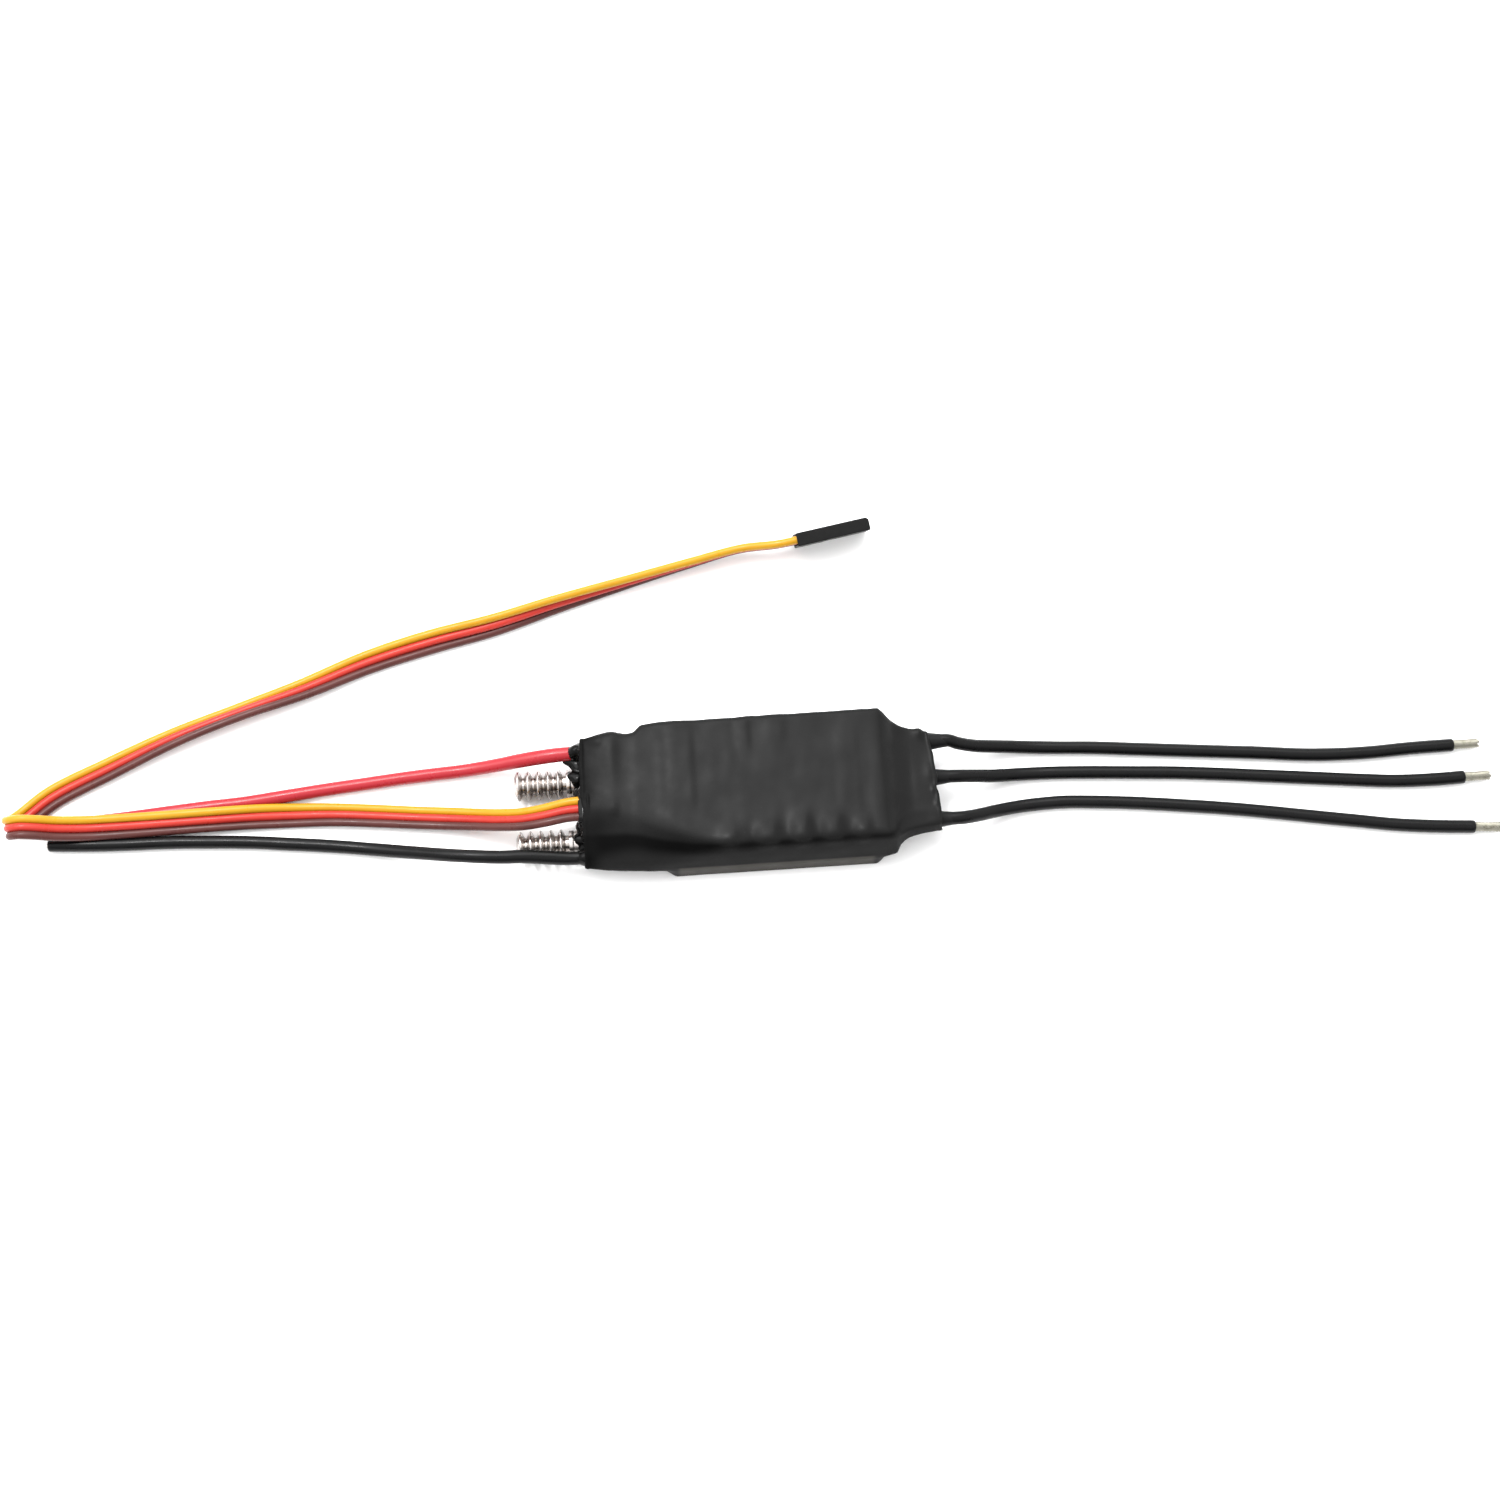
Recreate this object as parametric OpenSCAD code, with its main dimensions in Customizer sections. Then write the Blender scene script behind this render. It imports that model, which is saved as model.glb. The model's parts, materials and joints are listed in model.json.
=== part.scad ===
// Water-cooled brushless motor speed controller in a heat-shrink sleeve, with flying leads.
// X runs from the water and battery end to the motor end, Y to the rear, Z up.
// The origin is under the middle of the body and its hose nipples, on the surface it lies on.

/* [Sleeve] */
// Overall height of the wrapped body
body_h = 12; // [12:0.1:12.4]
// Half width of the body where it wraps the cooling block
body_half_w = 13.5; // [13.4:0.1:13.8]
// Wall thickness of the heat-shrink sleeve
sleeve_wall = 0.35; // [0.25:0.05:0.4]
// X of the sleeve's mouth at the battery end
sleeve_start = -26; // [-26.5:0.1:-25.8]
// X of the sleeve's mouth at the motor end
sleeve_end = 38.5; // [38.2:0.1:39]

/* [Cooling block] */
// Length of the aluminium cooling block
block_l = 35; // [34:0.5:35]
// Width of the cooling block
block_w = 25.6; // [25:0.2:25.6]
// Thickness of the cooling block
block_h = 4.8; // [4.6:0.1:4.8]
// Bore of the water channel inside the block
channel_d = 3; // [2.6:0.1:3.2]

/* [Hose nipples] */
// Diameter over the hose ribs
rib_d = 5.5; // [5.2:0.1:5.5]
// Diameter of the core between the ribs
core_d = 3.2; // [3:0.1:3.6]
// Number of hose ribs
rib_count = 5; // [4:1:5]
// Distance from one rib to the next
rib_pitch = 1.85; // [1.7:0.05:1.9]
// Diameter of the collar behind the ribs
collar_d = 4.9; // [4.6:0.1:5]
// Diameter of the shank that runs inside the sleeve
shank_d = 4; // [3.8:0.1:4]
// Bore of the nipple
nipple_bore_d = 2; // [1.6:0.1:2.2]

/* [Boards] */
// Thickness of the power board
power_board_h = 1; // [0.8:0.1:1]
// Thickness of the control board
control_board_h = 0.8; // [0.6:0.1:0.8]
// Gap between the two boards
board_gap = 1.9; // [1.8:0.1:1.9]

/* [Leads] */
// Outer diameter of the battery and motor wires
wire_d = 2.3; // [2.1:0.1:2.3]
// Outer diameter of each servo wire
servo_wire_d = 1.5; // [1.2:0.05:1.5]
// Diameter of a motor wire's tinned end
tinned_d = 1.5; // [1.3:0.1:1.6]
// Length of a motor wire's tinned end
tinned_l = 4.8; // [4:0.2:6]

/* [Servo plug] */
// Length of the plug housing
plug_l = 14; // [13:0.5:15]
// Spacing of the plug's contacts
plug_pitch = 2.54; // [2.54]
// Thickness of the front of the plug housing
plug_t = 2.5; // [2.4:0.1:2.6]
// Thickness of the rear of the plug housing
plug_rear_t = 2.9; // [2.7:0.1:3]

/* [Hidden] */
$fn = 48;

// Small overlap that keeps cuts clean
cut = 1;

// Stack of layers, from the surface up
block_z = 0.4;
pad_z = block_z + block_h;
pad_h = 0.5;
fet_z = pad_z + pad_h;
fet_h = 1;
board_z = fet_z + fet_h;
board_top = board_z + power_board_h;
control_z = board_top + board_gap;
control_top = control_z + control_board_h;

// Places along the body
block_start = -9;
block_end = block_start + block_l;
board_start = -24;
board_shoulder = 29;
board_end = 36.5;
main_start = -13;
channel_turn = 20;
block_edge = 0.3;
channel_z = block_z + block_h / 2;

// Hose nipples: where their axes and tips are
nipple_inlet_y = 5;
nipple_outlet_y = -6.5;
nipple_tip = -38.5;
nipple_depth = 4;
rib_crest = 0.3;
rib_foot = 1.3;
collar_start = nipple_tip + rib_count * rib_pitch + 0.3;
collar_end = sleeve_start + 1;
shank_end = block_start + nipple_depth;

// Leads: height of the wires under and on the power board
wire_r = wire_d / 2;
lead_z = 5.55;
servo_wire_r = servo_wire_d / 2;
servo_z = 8.5;
servo_y = -1.7;
servo_pitch = 1.52;
positive_y = 9.8;
negative_y = -10;
motor_y = [7.7, 0.8, -7.2];
tube_sides = 8;

// Battery leads, from their solder joints to their cut ends
positive_route = [
  [-21, 9.8, 5.55], [-25, 9.8, 5.55], [-29, 9.8, 5.55], [-33, 9.7, 5.1], [-37, 9.6, 4.1],
  [-41, 9.5, 2.8], [-45, 9.4, 1.7], [-49, 9.2, 1.2], [-53, 9, 1.15], [-59, 8.6, 1.15],
  [-66, 8, 1.15], [-73, 7.4, 1.15], [-80, 6.7, 1.15], [-88, 5.9, 1.15], [-95, 5.5, 1.15],
  [-102, 5, 1.15], [-110, 4.4, 1.15], [-117, 4, 1.15], [-124, 3.5, 1.15]
];
negative_route = [
  [-21, -10, 5.55], [-25, -10, 5.55], [-29, -10, 5.55], [-33, -9.7, 6], [-37, -9.4, 6.5],
  [-41.5, -9.3, 6.8], [-46.5, -8.8, 6.8], [-51, -8, 5.9], [-55.5, -6.9, 4.3],
  [-60, -5.8, 2.7], [-64.5, -4.8, 1.6], [-69, -4, 1.2], [-74, -3.3, 1.15],
  [-80, -2.6, 1.15], [-87, -1.8, 1.15], [-95, -1.2, 1.15], [-102, -0.8, 1.15],
  [-110, -0.6, 1.15], [-117, -0.3, 1.15], [-124, 0.2, 1.15]
];

// Motor leads, from their solder joints to where the insulation ends
motor_route_a = [
  [35, 7.7, 5.55], [41.3, 7.7, 5.55], [43, 7.25, 5], [46, 6.9, 3.9], [49, 6.9, 2.9],
  [53, 6.9, 1.8], [57, 6.7, 1.25], [61, 6.4, 1.15], [68, 5.9, 1.15], [75, 5.2, 1.15],
  [83, 4.4, 1.15], [91, 3.6, 1.15], [99, 2.8, 1.15], [106, 2, 1.15], [112, 1.6, 1.15],
  [119, 1.5, 1.15], [127, 1.8, 1.15], [134.8, 1.9, 1.15]
];
motor_route_b = [
  [35, 0.8, 5.55], [41.3, 0.8, 5.55], [43, 0.8, 5.3], [46, 1, 4.1], [49, 1.2, 2.8],
  [53, 1.5, 1.7], [57, 1.6, 1.2], [61, 1.5, 1.15], [68, 1.1, 1.15], [75, 0.6, 1.15],
  [83, 0, 1.15], [91, -0.8, 1.15], [99, -1.7, 1.15], [107, -2.6, 1.15],
  [115, -3.5, 1.15], [123, -4.3, 1.15], [130, -4.5, 1.15], [136, -4.4, 1.15]
];
motor_route_c = [
  [35, -7.2, 5.55], [41.3, -7.2, 5.55], [43, -7.1, 5.3], [46, -6.4, 4], [49, -5.5, 2.6],
  [53, -4.7, 1.6], [57, -4.3, 1.2], [62, -4.2, 1.15], [69, -4.7, 1.15], [76, -5.4, 1.15],
  [84, -6.4, 1.15], [92, -7.5, 1.15], [100, -8.8, 1.15], [108, -10.2, 1.15],
  [115, -11.4, 1.15], [122, -12.6, 1.15], [129, -13.4, 1.15], [136.5, -14, 1.15]
];

// Servo ribbon: x, y, z of the middle wire, then the direction from it to the signal wire as
// a plan angle and a tilt, and the distance from one wire to the next.
ribbon_route = [
  [-22, -1.7, 8.5, 90, 0, 1.52], [-26.5, -1.7, 8.5, 90, 0, 1.52],
  [-29, -1.8, 8.4, 91, -5, 1.52], [-33, -2.3, 7.8, 92, -12, 1.52],
  [-37, -2.4, 6.7, 88, -15, 1.52], [-41.5, -1.7, 4.8, 80, -15, 1.52],
  [-46, -0.7, 2.8, 78, -15, 1.52], [-50.5, 0.1, 1.6, 80, -12, 1.52],
  [-57, 0.9, 1.1, 83, -12, 1.52], [-64, 1.7, 1.05, 84, -11, 1.52],
  [-72, 2.5, 1, 84, -8, 1.52], [-80, 2.9, 0.9, 87, 5, 1.52],
  [-87, 2.9, 1.6, 90, 22, 1.52], [-95, 2.8, 1.9, 90, 28, 1.52],
  [-103, 2.6, 2.3, 90, 27, 1.52], [-110, 2.4, 2.8, 89, 23, 1.52],
  [-117, 2.3, 3.3, 88, 18, 1.52], [-122, 2.2, 4.7, 90, 12, 1.52],
  [-125.6, 2.2, 6.3, 91, 4, 1.52], [-127.9, 2.3, 6.75, 93, 0, 1.52],
  [-129.85, 2.45, 5.9, 97, 0, 1.52], [-130.5, 2.75, 4.9, 103, 0, 1.52],
  [-130.7, 3.15, 3.75, 109, 0, 1.52], [-130.5, 3.65, 2.6, 115, 0, 1.52],
  [-129.9, 4.3, 1.6, 120, 0, 1.52], [-128.7, 5.4, 0.9, 124, 0, 1.52],
  [-123.5, 9.4, 0.75, 118, 0, 1.52], [-113, 14.2, 0.98, 114, -8, 1.52],
  [-101, 19.3, 1.4, 111, -25, 1.52], [-89, 23.4, 1.6, 109, -32, 1.52],
  [-77, 27.3, 1.2, 109, -15, 1.52], [-65, 31.8, 1, 107, 5, 1.52],
  [-53, 34.9, 1.5, 104, 25, 1.52], [-41, 37.3, 2, 104, 48, 1.52],
  [-29, 40.6, 2.3, 105, 70, 1.52], [-16, 44, 2.3, 105, 90, 1.52],
  [-4, 47, 2.4, 103, 102, 1.52], [6, 49.1, 2.9, 98, 108, 1.52],
  [12.8, 49.05, 4, 98, 110, 2.15], [17.3, 49.71, 4.1, 100, 110, 2.54]
];

// Servo plug: the middle of its rear face, its heading and its backward lean
plug_rear = [16.3, 49.53, 4.1];
plug_heading = 10;
plug_lean = 20;
plug_h = 3 * plug_pitch;
plug_entry = 1.015;

// Sections of the sleeve along X: x, then the heights of its bottom, shoulder, knee and top
// edge, then its half widths at those heights on the front side and on the rear side.
sections = [
  [sleeve_start, [0.5, 5.6, 8.2, 9.8], [10, 12.2, 11, 4.2], [10, 11.9, 11.5, 10.9]],
  [-24, [0.3, 5.6, 8.2, 10.2], [10.4, 12.6, 11.4, 3.4], [10.2, 12.4, 11.9, 11.3]],
  [-20.3, [0.3, 5.6, 8.2, 10.4], [10.8, 13.1, 11.8, 2.6], [10.6, 12.9, 12.5, 11.8]],
  [-16.5, [0.3, 5.6, 8.3, 10.3], [11.2, 13.4, 12.1, 4.4], [10.8, 13.3, 12.8, 12.1]],
  [-14.5, [0.3, 5.4, 8.4, 11], [11.6, body_half_w, 12.3, 5.5], [11.2, body_half_w, 13.1, 12.5]],
  [-12, [0.3, 5.1, 8.5, body_h - 0.3], [12, body_half_w, 12.4, 7], [11.8, body_half_w, 13.2, 12.7]],
  [
    block_start - 0.6, [0.05, 5, 8.6, body_h], [13.3, body_half_w, 12.5, 8.4],
    [13.3, body_half_w, 13.3, 12.8]
  ],
  [-5, [0.05, 5, 8.8, body_h], [13.3, body_half_w, 12.5, 10.4], [13.3, body_half_w, 13.3, 12.8]],
  [-1, [0.05, 5, 9, body_h], [13.3, body_half_w, 12.4, 11.2], [13.3, body_half_w, 13.3, 12.8]],
  [
    block_end + 0.6, [0.05, 5, 9, body_h], [13.3, body_half_w, 12.4, 11.2],
    [13.3, body_half_w, 13.3, 12.8]
  ],
  [28, [2.4, 5.6, 9.2, body_h - 0.1], [12.2, 13.4, 12.2, 11.3], [12.2, 13.4, 13.1, 12.7]],
  [29.8, [3.1, 5.8, 9, 11.4], [11.2, 13, 12, 11.2], [11.2, 13, 12.7, 12.3]],
  [31, [3.5, 6, 8.2, 9.9], [10, 11.8, 11.2, 10.6], [10, 11.8, 11.5, 11]],
  [33, [3.8, 6.2, 7.8, 9], [9.3, 10.5, 10.1, 9.6], [9.3, 10.5, 10.2, 9.7]],
  [sleeve_end, [3.9, 6.2, 7.6, 8.6], [8.6, 9.4, 9, 8.6], [8.6, 9.4, 9, 8.6]]
];
corner_reach = [0.5, 1.3, 1.3, 1.3];
corner_steps = 4;

function unit(v) = v / norm(v);

// Solid skinned over rings that all have the same number of points
module skin(rings) {
  n = len(rings[0]);
  last = len(rings) - 1;
  sides = [
    for (i = [0:last - 1], j = [0:n - 1])
      let (a = i * n + j, b = i * n + (j + 1) % n)
      each [[a, a + n, b], [b, a + n, b + n]]
  ];
  first_cap = [for (j = [0:n - 1]) j];
  last_cap = [for (j = [n - 1:-1:0]) last * n + j];
  polyhedron(points = [for (r = rings) each r], faces = concat([first_cap, last_cap], sides));
}

// Rounded corner at b between a and c, as points on a quadratic curve
function corner(a, b, c, most) =
  let (
    reach = min(most, norm(a - b) / 2.5, norm(c - b) / 2.5),
    from = b + reach * unit(a - b),
    to = b + reach * unit(c - b)
  )
  [
    for (k = [0:corner_steps])
      let (t = k / corner_steps) (1 - t) * (1 - t) * from + 2 * t * (1 - t) * b + t * t * to
  ];

// Rounded outline of one sleeve section, drawn in by a wall thickness, as [y, z] points
function outline(s, wall) =
  let (
    z = [s[1][0] + wall, s[1][1], s[1][2] - wall / 2, s[1][3] - wall],
    rear = [for (k = [0:3]) [s[3][k] - wall, z[k]]],
    front = [for (k = [3:-1:0]) [wall - s[2][k], z[k]]],
    corners = concat(rear, front),
    n = len(corners)
  )
  [
    for (i = [0:n - 1])
      each corner(
        corners[(i + n - 1) % n], corners[i], corners[(i + 1) % n], corner_reach[min(i, n - 1 - i)]
      )
  ];

function section_ring(s, wall, shift) = [for (p = outline(s, wall)) [s[0] + shift, p[0], p[1]]];

// The space inside the sleeve, run out past both mouths
function inner_rings() =
  let (last = len(sections) - 1)
  [
    section_ring(sections[0], sleeve_wall, -cut),
    for (i = [0:last]) section_ring(sections[i], sleeve_wall, 0),
    section_ring(sections[last], sleeve_wall, cut)
  ];

// Direction of a route of points at point i
function heading(route, i) =
  unit(route[min(i + 1, len(route) - 1)] - route[max(i - 1, 0)]);

// Ring of a tube around point i, turned so that it starts on the side given
function tube_ring(route, i, r, side) =
  let (t = heading(route, i), s = unit(side - (side * t) * t), u = cross(t, s))
  [for (k = [0:tube_sides - 1]) let (a = 360 * k / tube_sides) route[i] + r * (cos(a) * s + sin(a) * u)];

module wire(route) {
  skin([for (i = [0:len(route) - 1]) tube_ring(route, i, wire_r, cross([0, 0, 1], heading(route, i)))]);
}

// Direction from the middle wire of the ribbon to its signal wire
function ribbon_side(p) = [cos(p[4]) * cos(p[3]), cos(p[4]) * sin(p[3]), sin(p[4])];

// Route of one wire of the ribbon: place is 1 for signal, 0 for positive, -1 for negative
function ribbon_wire_route(place) =
  [for (p = ribbon_route) [p[0], p[1], p[2]] + place * p[5] * ribbon_side(p)];

module ribbon_wire(place) {
  route = ribbon_wire_route(place);
  skin([
    for (i = [0:len(route) - 1])
      tube_ring(route, i, servo_wire_r, ribbon_side(ribbon_route[i]))
  ]);
}

// Cylinder along X from one x to another
module rod(x0, x1, y, z, d) {
  translate([x0, y, z]) rotate([0, 90, 0]) cylinder(d = d, h = x1 - x0);
}

// Box given by its centre in X and Y, its foot in Z and its size
module chip(x, y, z, size) {
  translate([x - size[0] / 2, y - size[1] / 2, z]) cube(size);
}

module board_outline() {
  polygon([
    [board_start, -11], [main_start, -11], [main_start, -11.8], [board_shoulder, -11.8],
    [board_shoulder, -8.8], [board_end, -8.8], [board_end, 9], [board_shoulder, 9],
    [board_shoulder, 12.2], [main_start, 12.2], [main_start, 11.3], [board_start, 11.3]
  ]);
}

// Places of the pins that join the two boards
link_x = [-2.5, 23.5];
link_y = [for (k = [-2:2]) k * 2.54];
link_pin = 0.6;
module link_pins(extra) {
  for (x = link_x, y = link_y) {
    chip(x, y, board_z + 0.1 - extra, [link_pin, link_pin, control_top + 0.4 - board_z + extra]);
  }
}

module heat_shrink_sleeve() {
  color("#262626") {
    difference() {
      skin([for (s = sections) section_ring(s, 0, 0)]);
      skin(inner_rings());
    }
    translate([block_start, -12, 0]) cube([block_l, 24, 0.3]);
  }
}

// Section of the block with its long edges broken, as [y, z] points
function block_section() =
  let (half = block_w / 2, e = block_edge)
  [
    [-half + e, 0], [half - e, 0], [half, e], [half, block_h - e],
    [half - e, block_h], [-half + e, block_h], [-half, block_h - e], [-half, e]
  ];

module cooling_block() {
  color("silver") difference() {
    translate([block_start, 0, block_z]) rotate([90, 0, 90])
      linear_extrude(block_l) polygon(block_section());
    for (y = [nipple_inlet_y, nipple_outlet_y]) {
      rod(block_start - cut, channel_turn, y, channel_z, channel_d);
      rod(block_start - cut, shank_end, y, channel_z, shank_d);
    }
    translate([channel_turn, nipple_inlet_y, channel_z])
      rotate([90, 0, 0]) cylinder(d = channel_d, h = block_w);
  }
}

module channel_plug() {
  color("gainsboro") translate([channel_turn, 2.5 - block_w / 2, channel_z])
    rotate([90, 0, 0]) cylinder(d = channel_d, h = 2.5);
}

// Half outline of a nipple along its axis from the tip, as [radius, distance] points
function nipple_profile() =
  let (
    core = core_d / 2,
    crest = rib_d / 2,
    ribs = [
      for (k = [0:rib_count - 1])
        let (mid = rib_pitch * (k + 0.4))
        each [
          [core, mid - rib_foot / 2], [crest - 0.15, mid - rib_crest], [crest, mid - rib_crest / 2],
          [crest, mid + rib_crest / 2], [crest - 0.15, mid + rib_crest], [core, mid + rib_foot / 2]
        ]
    ]
  )
  concat(
    [[nipple_bore_d / 2, 0], [core, 0]],
    ribs,
    [
      [core, collar_start - nipple_tip], [collar_d / 2, collar_start - nipple_tip],
      [collar_d / 2, collar_end - nipple_tip], [shank_d / 2, collar_end - nipple_tip],
      [shank_d / 2, shank_end - nipple_tip], [nipple_bore_d / 2, shank_end - nipple_tip]
    ]
  );

module nipple(y) {
  color("whitesmoke") translate([nipple_tip, y, channel_z]) rotate([0, 90, 0])
    rotate_extrude() polygon(nipple_profile());
}

module water_nipple_inlet() {
  nipple(nipple_inlet_y);
}

module water_nipple_outlet() {
  nipple(nipple_outlet_y);
}

module thermal_pad() {
  color("lightblue") translate([-7, -11, pad_z]) cube([31, 22, pad_h]);
}

module power_board() {
  color("darkgreen") difference() {
    translate([0, 0, board_z]) linear_extrude(power_board_h) board_outline();
    link_pins(cut);
  }
}

module mosfets() {
  color("#303030") for (x = [-3:5.4:24], y = [-8, 0, 8]) {
    chip(x, y, fet_z, [4.9, 5.9, fet_h]);
  }
}

module current_shunt() {
  color("darkgray") chip(14, -8.5, board_top, [6.4, 3.2, 0.7]);
}

module bulk_capacitors() {
  color("#b8a040") for (y = [0.1, 7.6]) {
    chip(-18.2, y, board_top, [4.3, 7.3, 1.8]);
  }
}

module bec_regulators() {
  color("#353535") for (y = [-6.2, 1.2]) {
    chip(-8, y, board_top, [6.1, 6.6, 2.2]);
  }
}

module bec_inductor() {
  color("#454545") translate([-8, 8.4, board_top]) cylinder(d = 6, h = 3.4);
}

module ceramic_capacitors() {
  color("burlywood") for (x = [3, 6, 9, 12, 15, 18], y = [-4.5, 8.8]) {
    chip(x, y, board_top, [1.6, 3.2, 1.4]);
  }
}

module board_link_headers() {
  color("#202020") for (x = link_x) {
    difference() {
      chip(x, 0, board_top, [2.2, 12.9, board_gap]);
      link_pins(cut);
    }
  }
}

module board_link_pins() {
  color("gold") link_pins(0);
}

module control_board() {
  color("seagreen") difference() {
    translate([-4.5, -10, control_z]) cube([29.5, 21, control_board_h]);
    link_pins(cut);
  }
}

module microcontroller() {
  color("#303030") chip(5, 0.5, control_top, [7, 7, 0.9]);
}

module gate_drivers() {
  color("#303030") for (y = [-6.5, 0.5, 7.5]) {
    chip(16, y, control_top, [4, 5, 0.9]);
  }
}

module clock_resonator() {
  color("silver") chip(5, 7.5, control_top, [3.2, 2.5, 0.7]);
}

module chip_resistors() {
  color("#404040") for (x = [0, 3, 6, 9, 12]) {
    chip(x, -7.5, control_top, [1.2, 2, 0.5]);
  }
}

// Solder around the bared end of a wire under the power board
module lead_joint(x, y) {
  difference() {
    rod(x, x + 3, y, lead_z, wire_d + 0.4);
    translate([x - cut, y - wire_d, board_z]) cube([3 + 2 * cut, 2 * wire_d, wire_d]);
  }
}

module solder_joints() {
  color("lightgray") {
    lead_joint(-21, positive_y);
    lead_joint(-21, negative_y);
    for (y = motor_y) {
      lead_joint(32, y);
    }
    for (k = [-1:1]) {
      chip(-21.1, servo_y + k * servo_pitch, board_top, [1.8, 1.1, 1.5]);
    }
  }
}

module input_end_potting() {
  inside = outline(sections[0], sleeve_wall);
  slot_w = 2 * servo_pitch + servo_wire_d + 0.04;
  slot_h = servo_wire_d + 0.04;
  color("#101010") difference() {
    union() {
      translate([sleeve_start - 0.4, 0, 0]) rotate([90, 0, 90]) linear_extrude(3) polygon(inside);
      for (y = [nipple_inlet_y, nipple_outlet_y]) {
        rod(sleeve_start - 1.4, sleeve_start, y, channel_z, collar_d + 0.6);
      }
      rod(sleeve_start - 1.8, sleeve_start, positive_y, lead_z, wire_d + 1);
      rod(sleeve_start - 1.8, sleeve_start, negative_y, lead_z, wire_d + 1);
    }
    for (y = [nipple_inlet_y, nipple_outlet_y]) {
      rod(sleeve_start - 3, collar_end, y, channel_z, collar_d);
      rod(sleeve_start - 3, sleeve_start + 5, y, channel_z, shank_d);
    }
    rod(sleeve_start - 3, sleeve_start + 5, positive_y, lead_z, wire_d);
    rod(sleeve_start - 3, sleeve_start + 5, negative_y, lead_z, wire_d);
    translate([sleeve_start - 3, servo_y - slot_w / 2, servo_z - slot_h / 2])
      cube([8, slot_w, slot_h]);
  }
}

module output_end_potting() {
  inside = outline(sections[len(sections) - 1], sleeve_wall);
  color("#181818") difference() {
    translate([board_end, 0, 0]) rotate([90, 0, 90])
      linear_extrude(sleeve_end - board_end) polygon(inside);
    for (y = motor_y) {
      rod(board_end - cut, sleeve_end + cut, y, lead_z, wire_d);
    }
  }
}

// Tapered collar of glue around a motor wire where it leaves the sleeve
module glue_collar(y) {
  collar_l = 2.8;
  color("#181818") difference() {
    translate([sleeve_end, y, lead_z]) rotate([0, 90, 0])
      cylinder(d1 = wire_d + 1.2, d2 = wire_d + 0.4, h = collar_l);
    rod(sleeve_end - cut, sleeve_end + collar_l + cut, y, lead_z, wire_d);
  }
}

module glue_collar_a() {
  glue_collar(motor_y[0]);
}

module glue_collar_b() {
  glue_collar(motor_y[1]);
}

module glue_collar_c() {
  glue_collar(motor_y[2]);
}

module power_wire_positive() {
  color("#d94a55") wire(positive_route);
}

module power_wire_negative() {
  color("#202020") wire(negative_route);
}

module motor_wire_a() {
  color("#202020") wire(motor_route_a);
}

module motor_wire_b() {
  color("#202020") wire(motor_route_b);
}

module motor_wire_c() {
  color("#202020") wire(motor_route_c);
}

// Tinned end that carries a route on in a straight line
module tinned_end(route) {
  tip = route[len(route) - 1];
  way = heading(route, len(route) - 1);
  color("silver") translate(tip) rotate([0, 90, atan2(way[1], way[0])])
    cylinder(d = tinned_d, h = tinned_l);
}

module tinned_end_a() {
  tinned_end(motor_route_a);
}

module tinned_end_b() {
  tinned_end(motor_route_b);
}

module tinned_end_c() {
  tinned_end(motor_route_c);
}

module servo_wire_signal() {
  color("orange") ribbon_wire(1);
}

module servo_wire_positive() {
  color("#e05048") ribbon_wire(0);
}

module servo_wire_negative() {
  color("#70403c") ribbon_wire(-1);
}

// Frame of the plug: X along it from its rear face, Z from the negative to the signal contact
module in_plug_frame() {
  translate(plug_rear) rotate([0, 0, plug_heading]) rotate([plug_lean, 0, 0]) children();
}

contact_w = 1.9;
contact_start = plug_entry + 0.06;
contact_end = plug_l - 1.2;
pin_hole_w = 0.9;
window_x = 7.2;
module servo_plug_housing() {
  rear_l = 0.4 * plug_l;
  color("#202020") in_plug_frame() difference() {
    union() {
      translate([0, -plug_t / 2, -plug_h / 2]) cube([plug_l, plug_t, plug_h]);
      translate([0, -plug_rear_t / 2, -plug_h / 2]) cube([rear_l, plug_rear_t, plug_h]);
    }
    for (k = [-1:1]) {
      translate([-cut, -contact_w / 2, k * plug_pitch - contact_w / 2])
        cube([contact_end + cut, contact_w, contact_w]);
      translate([0, -pin_hole_w / 2, k * plug_pitch - pin_hole_w / 2])
        cube([plug_l + cut, pin_hole_w, pin_hole_w]);
      translate([window_x, -plug_t, k * plug_pitch - 0.7]) cube([2.4, plug_t, 1.4]);
    }
  }
}

module servo_plug_contacts() {
  color("goldenrod") in_plug_frame() for (k = [-1:1]) {
    translate([contact_start, 0, k * plug_pitch]) difference() {
      translate([0, -0.85, -0.85]) cube([contact_end - contact_start - 0.1, 1.7, 1.7]);
      translate([4, -0.35, -0.35]) cube([plug_l, 0.7, 0.7]);
    }
  }
}

heat_shrink_sleeve();
cooling_block();
channel_plug();
water_nipple_inlet();
water_nipple_outlet();
thermal_pad();
power_board();
mosfets();
current_shunt();
bulk_capacitors();
bec_regulators();
bec_inductor();
ceramic_capacitors();
board_link_headers();
board_link_pins();
control_board();
microcontroller();
gate_drivers();
clock_resonator();
chip_resistors();
solder_joints();
input_end_potting();
output_end_potting();
power_wire_positive();
power_wire_negative();
motor_wire_a();
motor_wire_b();
motor_wire_c();
glue_collar_a();
glue_collar_b();
glue_collar_c();
tinned_end_a();
tinned_end_b();
tinned_end_c();
servo_wire_signal();
servo_wire_positive();
servo_wire_negative();
servo_plug_housing();
servo_plug_contacts();
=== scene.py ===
"""Visual model of a water-cooled motor speed controller with flying leads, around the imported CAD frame.

Tables are in millimetres; meshes are scaled to metres when they are made. X runs from the water and
battery end to the motor end, Y to the rear, Z up.
"""

import json
import math

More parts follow.
